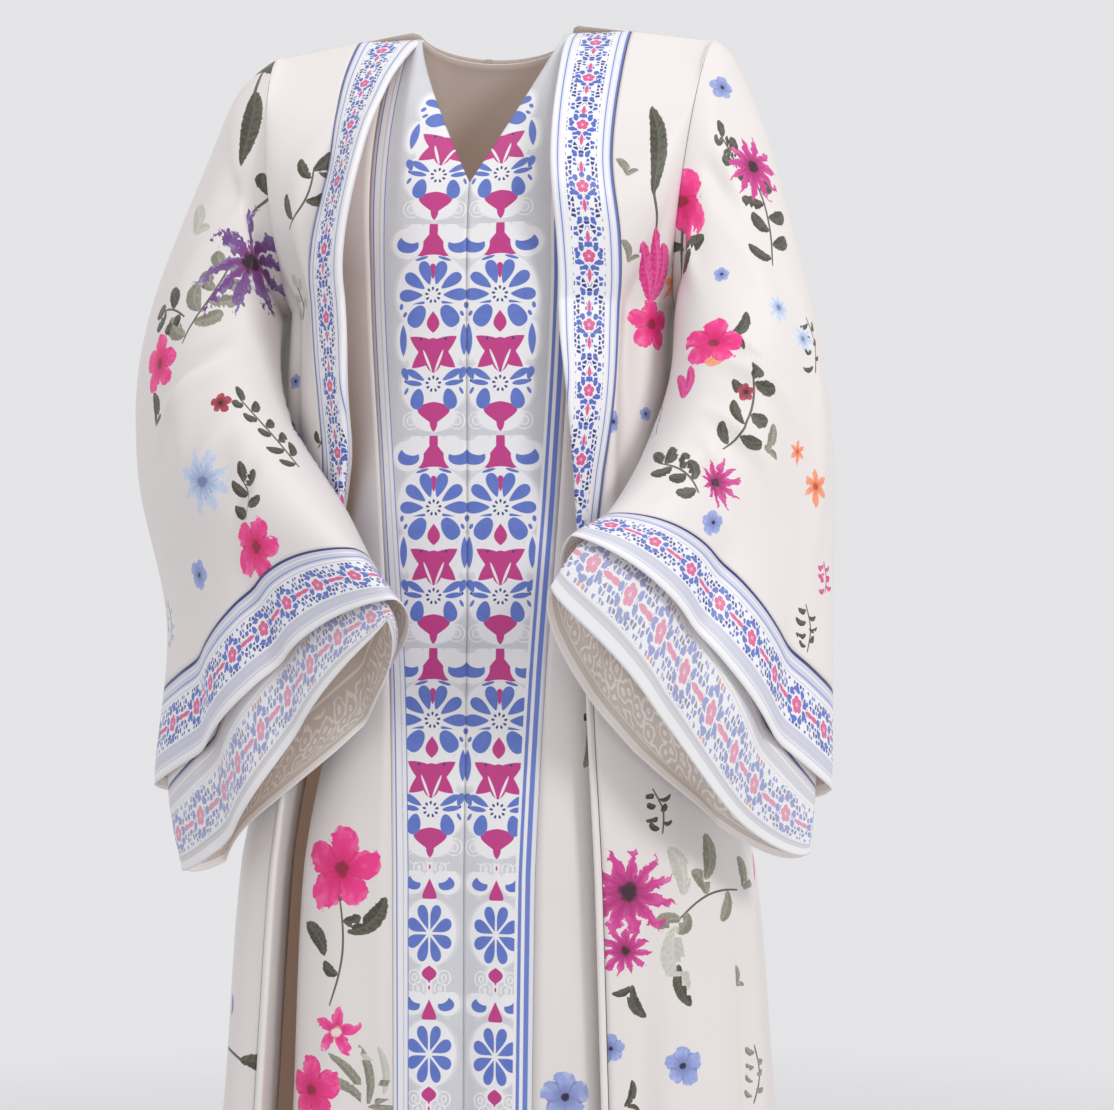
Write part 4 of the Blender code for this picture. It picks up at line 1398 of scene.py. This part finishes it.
def spotGroup():
    # an oval, drop or pointed leaf. Level is about how many millimetres a point lies inside it.
    group, start, end = newGroup("spot", [("Place", vectorSocket), ("Centre", vectorSocket),
                                 ("Size", vectorSocket), ("Turn", valueSocket), ("Point", valueSocket),
                                 ("Taper", valueSocket)], [("Level", valueSocket)])
    off = group.nodes.new("ShaderNodeVectorMath")
    off.operation = "SUBTRACT"
    group.links.new(start.outputs["Place"], off.inputs[0])
    group.links.new(start.outputs["Centre"], off.inputs[1])
    turned = group.nodes.new("ShaderNodeVectorRotate")
    turned.rotation_type = "Z_AXIS"
    group.links.new(off.outputs[0], turned.inputs["Vector"])
    group.links.new(start.outputs["Turn"], turned.inputs["Angle"])
    x, y = split(group, turned.outputs[0])
    wide, tall = split(group, start.outputs["Size"])
    run = calc(group, "DIVIDE", y, tall)
    hump = calc(group, "MAXIMUM", calc(group, "SUBTRACT", 1.0, calc(group, "MULTIPLY", run, run)), 0.0)
    half = calc(group, "POWER", hump, start.outputs["Point"])
    half = calc(group, "MULTIPLY", half, calc(group, "ADD", 1.0,
                calc(group, "MULTIPLY", run, start.outputs["Taper"])))
    side = calc(group, "SUBTRACT", calc(group, "MULTIPLY", half, wide), calc(group, "ABSOLUTE", x))
    ends = calc(group, "MULTIPLY", calc(group, "SUBTRACT", 1.0, calc(group, "ABSOLUTE", run)), tall)
    group.links.new(calc(group, "MINIMUM", side, ends), end.inputs["Level"])
    return group


def petalRingGroup():
    # a ring of equal petals round a centre
    group, start, end = newGroup("petalRing", [("Place", vectorSocket), ("Centre", vectorSocket),
                                 ("Count", valueSocket), ("Inner", valueSocket), ("Outer", valueSocket),
                                 ("Width", valueSocket)], [("Level", valueSocket)])
    off = group.nodes.new("ShaderNodeVectorMath")
    off.operation = "SUBTRACT"
    group.links.new(start.outputs["Place"], off.inputs[0])
    group.links.new(start.outputs["Centre"], off.inputs[1])
    x, y = split(group, off.outputs[0])
    far = calc(group, "SQRT", calc(group, "ADD", calc(group, "MULTIPLY", x, x),
                                   calc(group, "MULTIPLY", y, y)))
    angle = calc(group, "DIVIDE", calc(group, "ARCTAN2", x, y), 2 * pi)
    phase = calc(group, "FRACT", calc(group, "ADD", calc(group, "MULTIPLY", angle,
                                                        start.outputs["Count"]), 20.0))
    side = calc(group, "MULTIPLY", calc(group, "ABSOLUTE", calc(group, "SUBTRACT", phase, 0.5)), 2.0)
    length = calc(group, "SUBTRACT", start.outputs["Outer"], start.outputs["Inner"])
    run = calc(group, "DIVIDE", calc(group, "SUBTRACT", far, start.outputs["Inner"]), length)
    hump = calc(group, "MULTIPLY", calc(group, "MULTIPLY", run, calc(group, "SUBTRACT", 1.0, run)), 4.0)
    half = calc(group, "MULTIPLY", calc(group, "POWER", calc(group, "MAXIMUM", hump, 0.0), 0.5),
                start.outputs["Width"])
    arc = calc(group, "DIVIDE", calc(group, "MULTIPLY", far, pi), start.outputs["Count"])
    level = calc(group, "MULTIPLY", calc(group, "SUBTRACT", half, side), arc)
    ends = calc(group, "MINIMUM", calc(group, "SUBTRACT", far, start.outputs["Inner"]),
                calc(group, "SUBTRACT", start.outputs["Outer"], far))
    group.links.new(calc(group, "MINIMUM", level, ends), end.inputs["Level"])
    return group


spot, petalRing = spotGroup(), petalRingGroup()


def spots(tree, place, rows):
    # the union of several spots: x, y, half width, half height, turn in degrees, point, taper
    level = None
    for x, y, wide, tall, turn, point, taper in rows:
        drawn = useGroup(tree, spot, Place=place, Centre=(x, y, 0), Size=(wide, tall, 1),
                         Turn=radians(turn), Point=point, Taper=taper)["Level"]
        level = drawn if level is None else calc(tree, "MAXIMUM", level, drawn)
    return level


def inkMask(tree, level, soft=0.35):
    return below(tree, calc(tree, "MULTIPLY", level, -1.0), 0.0, soft)


# One repeat of a medallion column, in the photo's pixels, which are 0.96 mm on the panel: y
# runs down from the large rosette, x out from the column's middle. Both halves are alike.
# Rows are x, y, half width, half height, turn, point and taper.
medallion = {
    "scale": 1045.0, "repeat": 213.0, "cut": 72.0, "axis": 34.4,
    "base": [(0, 0, 39, 42, 0, 0.5, 0), (31, 46, 8, 20, 0, 0.5, 0), (0, 54, 29, 28, 0, 0.45, 0),
             (0, 91, 34, 30, 0, 0.45, 0), (0, 121, 23, 16, 0, 0.5, 0), (0, -60, 11, 22, 0, 0.5, 0),
             (18, -63, 9, 10, 0, 0.5, 0)],
    "flare": [(0, -53, 11.5, 14, 0, 0.15, 0.95), (0, -66, 4.5, 14, 0, 0.3, 0)],
    "over": [(0, 0, 38.5, 41, 0, 0.5, 0), (27, -52, 16.5, 15.5, 0, 0.5, 0)],
    "star": [(0, 55, 10, 29, 52, 0.9, 0), (0, 57, 10, 29, -58, 0.9, 0), (0, 57, 16, 14, 0, 0.7, 0),
             (0, 68, 8, 10, 0, 0.8, 0), (0, 27, 6.5, 11, 0, 1.1, 0.3), (0, -24, 3.0, 8, 0, 0.5, -0.5),
             (0, 119, 15, 12, 0, 0.8, -0.75), (0, 128, 4, 9, 0, 0.8, 0)],
    "blue": [(17, 21, 8.5, 12.0, 35, 0.42, 0.15), (32, 45, 3.8, 16, 0, 0.9, 0),
             (30, 79, 3.6, 7, -20, 0.7, -0.4), (19, 80, 3.6, 11, -60, 0.7, -0.3),
             (21, 88, 9, 2.8, 8, 0.6, 0), (17, 104, 7.0, 10.5, 12, 0.5, 0.2),
             (29, 96, 1.6, 4, 30, 0.6, 0), (34, 11, 2.0, 3.2, 10, 0.5, 0), (30, 19, 1.8, 3.0, 30, 0.5, 0),
             (12, -37, 7, 1.6, -16, 0.6, 0), (27, -52, 11.5, 9.5, 0, 0.5, 0.2)],
    "bite": [(24, -60, 11, 7.5, 12, 0.5, 0), (6, 66, 1.3, 12, -22, 0.6, 0)],
    "dots": [(30, 86, 1.0, 1.6, 0, 0.5, 0), (13, 44, 1.2, 1.6, 30, 0.5, 0)],
    "curls": [(24, 126, 9, 9), (20, -64, 7, 8)],
    "firstRosette": 232.0, "petals": 10.0,
}
# The smaller repeat below the waist.
smallMedallion = {
    "repeat": 120.0, "cut": 62.0, "from": 799.0, "firstRosette": 870.0,
    "base": [(0, -1, 27, 34, 0, 0.5, 0), (18, -51, 13, 12.5, 0, 0.5, 0), (0, 39, 10, 9, 0, 0.6, 0),
             (0, 52, 3, 12, 0, 0.5, 0), (0, -50, 6, 12, 0, 0.5, 0)],
    "magenta": [(0, 40, 7.5, 8, 0, 1.1, 0), (0, -44, 5.0, 10, 0, 0.15, 0.9), (0, 54, 1.0, 2.4, 0, 0.6, 0),
                (0, 47, 1.0, 2.4, 0, 0.6, 0)],
    "blue": [(17, -50, 8.0, 7.0, 10, 0.5, 0.2)],
    "bite": [(12, -56.5, 8, 6.0, 20, 0.5, 0)],
    "curls": [(15, 44, 7, 8), (11, 55, 6, 7)],
}
ink = {"blue": (0.085, 0.145, 0.50), "darkBlue": (0.035, 0.05, 0.22), "magenta": (0.52, 0.045, 0.23),
       "white": (0.82, 0.81, 0.82), "grey": (0.55, 0.555, 0.59), "lilac": (0.60, 0.60, 0.70),
       "stripeBlue": (0.15, 0.22, 0.58), "pale": (0.72, 0.73, 0.79)}


def curls(tree, place, rows, colour):
    # pale scroll lines on the grey ground
    for x, y, wide, tall in rows:
        for shrink in (0, 4.2):
            level = spots(tree, place, [(x, y, wide - shrink, tall - shrink, 0, 0.5, 0)])
            line = calc(tree, "ABSOLUTE", calc(tree, "SUBTRACT", level, 0.6))
            colour = blend(tree, below(tree, line, 0.8, 0.3), colour, ink["white"])
    return colour


def repeated(group, value, look):
    y = calc(group, "ADD", calc(group, "SUBTRACT", value, look["firstRosette"]), look["cut"])
    return calc(group, "SUBTRACT", calc(group, "FLOORED_MODULO", y, look["repeat"]), look["cut"])


def painted(group, place, colour, level, paint):
    return blend(group, inkMask(group, level), colour, paint)


def largeColumn(group, place, inkBlue, grey):
    base = spots(group, place, medallion["base"])
    over = spots(group, place, medallion["over"])
    halo = below(group, calc(group, "MULTIPLY", calc(group, "MAXIMUM", base, over), -1.0), 2.5, 2.5)
    colour = curls(group, place, medallion["curls"], grey)
    colour = blend(group, calc(group, "MULTIPLY", halo, 0.6), colour, ink["white"])
    colour = painted(group, place, colour, base, ink["white"])
    colour = painted(group, place, colour, spots(group, place, medallion["flare"]), ink["magenta"])
    colour = painted(group, place, colour, over, ink["white"])
    colour = painted(group, place, colour, spots(group, place, medallion["star"]), ink["magenta"])
    ring = useGroup(group, petalRing, Place=place, Centre=(0, 0, 0), Count=medallion["petals"], Inner=11.0,
                    Outer=36.0, Width=0.76)["Level"]
    ring = calc(group, "MINIMUM", ring, spots(group, place, [(0, -20, 60, 29, 0, 0.1, 0)]))
    blue = calc(group, "MAXIMUM", ring, spots(group, place, medallion["blue"]))
    colour = painted(group, place, colour, blue, inkBlue)
    colour = painted(group, place, colour, spots(group, place, medallion["bite"]), ink["white"])
    hearts = spots(group, place, medallion["dots"])
    for height in (0, 89):
        drawn = useGroup(group, petalRing, Place=place, Centre=(0, height, 0), Count=9.0, Inner=4.6,
                         Outer=8.4, Width=0.5)["Level"]
        hearts = calc(group, "MAXIMUM", hearts, drawn)
    return blend(group, inkMask(group, hearts, 0.25), colour, ink["darkBlue"])


def smallColumn(group, place, inkBlue, grey):
    base = spots(group, place, smallMedallion["base"])
    halo = below(group, calc(group, "MULTIPLY", base, -1.0), 2.5, 2.5)
    colour = curls(group, place, smallMedallion["curls"], grey)
    colour = blend(group, calc(group, "MULTIPLY", halo, 0.5), colour, ink["white"])
    colour = painted(group, place, colour, base, ink["white"])
    colour = painted(group, place, colour, spots(group, place, smallMedallion["magenta"]), ink["magenta"])
    x, y = split(group, place)
    rounded = joined(group, calc(group, "MULTIPLY", x, 1.25), y)
    ring = useGroup(group, petalRing, Place=rounded, Centre=(0, 0, 0), Count=8.0, Inner=4.0, Outer=30.0,
                    Width=0.8)["Level"]
    blue = calc(group, "MAXIMUM", ring, spots(group, place, smallMedallion["blue"]))
    colour = painted(group, place, colour, blue, inkBlue)
    return painted(group, place, colour, spots(group, place, smallMedallion["bite"]), ink["white"])


def medallionGroup():
    group, start, end = newGroup("medallionColumn", [("Place", vectorSocket)], [("Color", colourSocket)])
    x, y = split(group, start.outputs["Place"])
    x = calc(group, "ABSOLUTE", calc(group, "SUBTRACT", x, medallion["axis"]))
    mottle = noise(group, start.outputs["Place"], 0.09, 2.0)
    inkBlue = blend(group, mottle, ink["blue"], ink["stripeBlue"])
    grey = blend(group, noise(group, start.outputs["Place"], 0.02, 2.0), ink["grey"], (0.66, 0.665, 0.69))
    large = largeColumn(group, joined(group, x, repeated(group, y, medallion)), inkBlue, grey)
    small = smallColumn(group, joined(group, x, repeated(group, y, smallMedallion)), inkBlue, grey)
    lower = calc(group, "GREATER_THAN", y, smallMedallion["from"])
    group.links.new(blend(group, lower, large, small), end.inputs["Color"])
    return group


def stripes(tree, x, ground, rows):
    # bands of colour between two distances, laid over the ground in turn
    for low, high, colour in rows:
        middle, half = (low + high) / 2, (high - low) / 2
        off = calc(tree, "ABSOLUTE", calc(tree, "SUBTRACT", x, middle))
        ground = blend(tree, below(tree, off, half, 0.3), ground, colour)
    return ground


# Distances in from the panel's outer edge.
panelStripes = {
    "Left": [(-1, 4.5, ink["pale"]), (4.5, 9.5, ink["stripeBlue"]), (9.5, 13, ink["white"]),
             (13, 16.5, ink["stripeBlue"]), (16.5, 19.5, ink["white"])],
    "Right": [(-1, 4, ink["white"]), (4, 5.4, ink["stripeBlue"]), (5.4, 11, ink["white"]),
              (11, 12.2, ink["lilac"]), (12.2, 16, ink["white"]), (16, 17, ink["stripeBlue"])],
}


def scaledMap(tree, name, scale):
    scaled = tree.nodes.new("ShaderNodeVectorMath")
    scaled.operation = "SCALE"
    scaled.inputs["Scale"].default_value = scale
    tree.links.new(mapSocket(tree, name), scaled.inputs[0])
    return scaled.outputs[0]


medallionColumn = medallionGroup()


def panelPaint(word):
    paint, tree, shader = newPaint(f"medallionPanel{word}", 0.42)
    place = scaledMap(tree, "cloth", medallion["scale"])
    colour = useGroup(tree, medallionColumn, Place=place)["Color"]
    edge, _ = split(tree, scaledMap(tree, "edge", medallion["scale"]))
    colour = stripes(tree, edge, colour, panelStripes[word])
    tree.links.new(colour, shader.inputs["Base Color"])
    return paint


def mosaicGroup():
    # small blue pieces with white lines between them, round pink flowers, along a border.
    # Place x is across the border from its middle, y along it; both in millimetres.
    group, start, end = newGroup("mosaicBorder", [("Place", vectorSocket), ("Half", valueSocket),
                                 ("Repeat", valueSocket), ("Warm", valueSocket), ("Grain", valueSocket)],
                                 [("Color", colourSocket)])
    x, y = split(group, start.outputs["Place"])
    repeat = start.outputs["Repeat"]
    number = calc(group, "FLOOR", calc(group, "DIVIDE", y, repeat))
    along = calc(group, "SUBTRACT", calc(group, "FLOORED_MODULO", y, repeat),
                 calc(group, "MULTIPLY", repeat, 0.5))
    odd = calc(group, "FLOORED_MODULO", number, 2.0)
    place = joined(group, x, along)
    cells = group.nodes.new("ShaderNodeTexVoronoi")
    cells.feature = "F1"
    edges = group.nodes.new("ShaderNodeTexVoronoi")
    edges.feature = "DISTANCE_TO_EDGE"
    for node in (cells, edges):
        node.voronoi_dimensions = "2D"
        group.links.new(start.outputs["Grain"], node.inputs["Scale"])
        node.inputs["Randomness"].default_value = 0.75
        group.links.new(joined(group, calc(group, "ABSOLUTE", x), calc(group, "ADD",
                        calc(group, "ABSOLUTE", along), calc(group, "MULTIPLY", odd, 40.0))),
                        node.inputs["Vector"])
    red, green = split(group, cells.outputs["Color"])
    filled = below(group, calc(group, "MULTIPLY", edges.outputs["Distance"], -1.0), -0.15, 0.03)
    shown = calc(group, "MULTIPLY", filled, calc(group, "LESS_THAN", red, 0.74))
    inset = calc(group, "LESS_THAN", calc(group, "ABSOLUTE", x), start.outputs["Half"])
    shown = calc(group, "MULTIPLY", shown, inset)
    tint = blend(group, calc(group, "GREATER_THAN", green, 0.55), ink["blue"], ink["darkBlue"])
    tint = blend(group, calc(group, "MULTIPLY", calc(group, "GREATER_THAN", green, 0.86),
                             start.outputs["Warm"]), tint, (0.62, 0.20, 0.13))
    colour = blend(group, shown, ink["white"], tint)
    clear = spots(group, place, [(0, 0, 7.6, 7.6, 0, 0.5, 0), (0, 19, 2.6, 9, 0, 0.5, 0),
                                 (0, -19, 2.6, 9, 0, 0.5, 0)])
    colour = blend(group, inkMask(group, clear), colour, ink["white"])
    flower = useGroup(group, petalRing, Place=place, Centre=(0, 0, 0), Count=5.0, Inner=0.4, Outer=6.4,
                      Width=1.1)["Level"]
    pink = calc(group, "MAXIMUM", flower, spots(group, place, [(0, 18, 2.0, 7, 0, 1.1, 0),
                (0, -18, 2.0, 7, 0, 1.1, 0)]))
    colour = blend(group, inkMask(group, pink, 0.3), colour, (0.68, 0.10, 0.27))
    ring = useGroup(group, petalRing, Place=place, Centre=(0, 0, 0), Count=9.0, Inner=8.4, Outer=13.6,
                    Width=0.72)["Level"]
    ring = calc(group, "MINIMUM", ring, calc(group, "SUBTRACT", start.outputs["Half"],
                                            calc(group, "ABSOLUTE", x)))
    colour = blend(group, inkMask(group, ring, 0.3), colour, ink["blue"])
    group.links.new(colour, end.inputs["Color"])
    return group


mosaicBorder = mosaicGroup()
borders = {
    "band": {"middle": 31.0, "half": 16.0, "repeat": 66.0, "warm": 0.0, "fade": 0.0, "grain": 0.20,
             "plainFrom": 590.0, "ground": ink["pale"],
             "stripes": [(-1, 2.2, ink["stripeBlue"]), (4.5, 6.0, ink["white"]), (8.5, 9.6, ink["stripeBlue"]),
                         (11, 13.5, ink["white"]), (14.2, 15.0, ink["lilac"]), (47.0, 48.0, ink["lilac"]),
                         (49, 52, ink["white"]), (54, 55.2, ink["stripeBlue"]), (57, 80, ink["white"])]},
    "cuff": {"middle": 33.0, "half": 15.0, "repeat": 44.0, "warm": 0.0, "fade": 0.06, "grain": 0.24,
             "ground": ink["lilac"],
             "stripes": [(-1, 2.0, ink["darkBlue"]), (5.5, 6.6, ink["white"]), (10.5, 11.4, ink["stripeBlue"]),
                         (13, 15.5, ink["white"]), (51.5, 52.5, ink["grey"]), (56, 57, ink["grey"]),
                         (60, 61, ink["white"]), (62.5, 72, ink["white"])]},
    "underCuff": {"middle": 34.0, "half": 16.0, "repeat": 44.0, "warm": 1.0, "fade": 0.34, "grain": 0.24,
                  "ground": (0.66, 0.64, 0.66),
                  "stripes": [(-1, 1.4, ink["stripeBlue"]), (6, 7, ink["white"]), (11, 12, ink["lilac"]),
                              (14, 16, ink["white"]), (53, 54, ink["grey"]), (58, 72, ink["white"])]},
}


def borderPaint(name, look):
    paint, tree, shader = newPaint(name, 0.42)
    x, y = split(tree, scaledMap(tree, "cloth", 1000.0))
    off = calc(tree, "SUBTRACT", x, look["middle"])
    mosaic = useGroup(tree, mosaicBorder, Place=joined(tree, off, y), Half=look["half"],
                      Repeat=look["repeat"], Warm=look["warm"], Grain=look["grain"])["Color"]
    mosaic = blend(tree, look["fade"], mosaic, ink["white"])
    inside = below(tree, calc(tree, "ABSOLUTE", off), look["half"] + 1.5, 0.4)
    colour = blend(tree, inside, stripes(tree, x, look["ground"], look["stripes"]), mosaic)
    if "plainFrom" in look:      # below the waist only the plain satin of the turned edge shows
        colour = blend(tree, calc(tree, "GREATER_THAN", y, look["plainFrom"]), colour, satinLook["ground"])
    tree.links.new(colour, shader.inputs["Base Color"])
    return paint




def lacePaint(name, ground, line):
    # the reverse of the borders: the print shows through as pale curls
    paint, tree, shader = newPaint(name, 0.6)
    place = scaledMap(tree, "cloth", 1000.0)
    bent = tree.nodes.new("ShaderNodeTexNoise")
    bent.inputs["Scale"].default_value = 0.10
    tree.links.new(place, bent.inputs["Vector"])
    moved = tree.nodes.new("ShaderNodeVectorMath")
    moved.operation = "MULTIPLY_ADD"
    moved.inputs[1].default_value = (9, 9, 0)
    tree.links.new(bent.outputs["Color"], moved.inputs[0])
    tree.links.new(place, moved.inputs[2])
    cells = tree.nodes.new("ShaderNodeTexVoronoi")
    cells.voronoi_dimensions = "2D"
    cells.inputs["Scale"].default_value = 0.055
    tree.links.new(moved.outputs[0], cells.inputs["Vector"])
    rings = calc(tree, "SINE", calc(tree, "MULTIPLY", cells.outputs["Distance"], 18.0))
    x, _ = split(tree, place)
    middle = below(tree, calc(tree, "ABSOLUTE", calc(tree, "SUBTRACT", x, 32.0)), 19.0, 1.0)
    colour = blend(tree, calc(tree, "MULTIPLY", calc(tree, "MAXIMUM", rings, 0.0), middle), ground, line)
    colour = stripes(tree, x, colour, [(-1, 3, line), (8, 9.5, line), (52, 53, line), (60, 72, line)])
    tree.links.new(colour, shader.inputs["Base Color"])
    # Painted light: the cuffs' reverse glows warm, so the shaded inside of the sleeves reads lit instead of
    # dark.
    shader.inputs["Emission Color"].default_value = (0.62, 0.50, 0.42, 1)    # painted light: a warm glow standing in for bounce light
    shader.inputs["Emission Strength"].default_value = 0.13
    return paint


panelPaints = {word: panelPaint(word) for word in ("Left", "Right")}
bandPaint = borderPaint("borderBand", borders["band"])
cuffPaint = borderPaint("borderCuff", borders["cuff"])
underCuffPaint = borderPaint("underBorderCuff", borders["underCuff"])
cuffReverse = lacePaint("cuffReverse", (0.54, 0.49, 0.45), (0.78, 0.75, 0.73))


def dressSheets():
    for name, sheet in sheets.items():
        outside, slot = satin, "printed_satin"
        if "Band" in name:
            outside, slot = bandPaint, "border_band"
        elif "Cuff" in name:
            outside, slot = (cuffPaint if "over" in name else underCuffPaint), "border_band"
        elif "Panel" in name:
            outside, slot = panelPaints["Left" if "Left" in name else "Right"], "ornament_panel"
        sheet["piece"].data.materials.append(outside)
        sheet["piece"].data.materials.append(cuffReverse if "Cuff" in name else reverse)


dressSheets()
print("paints on")
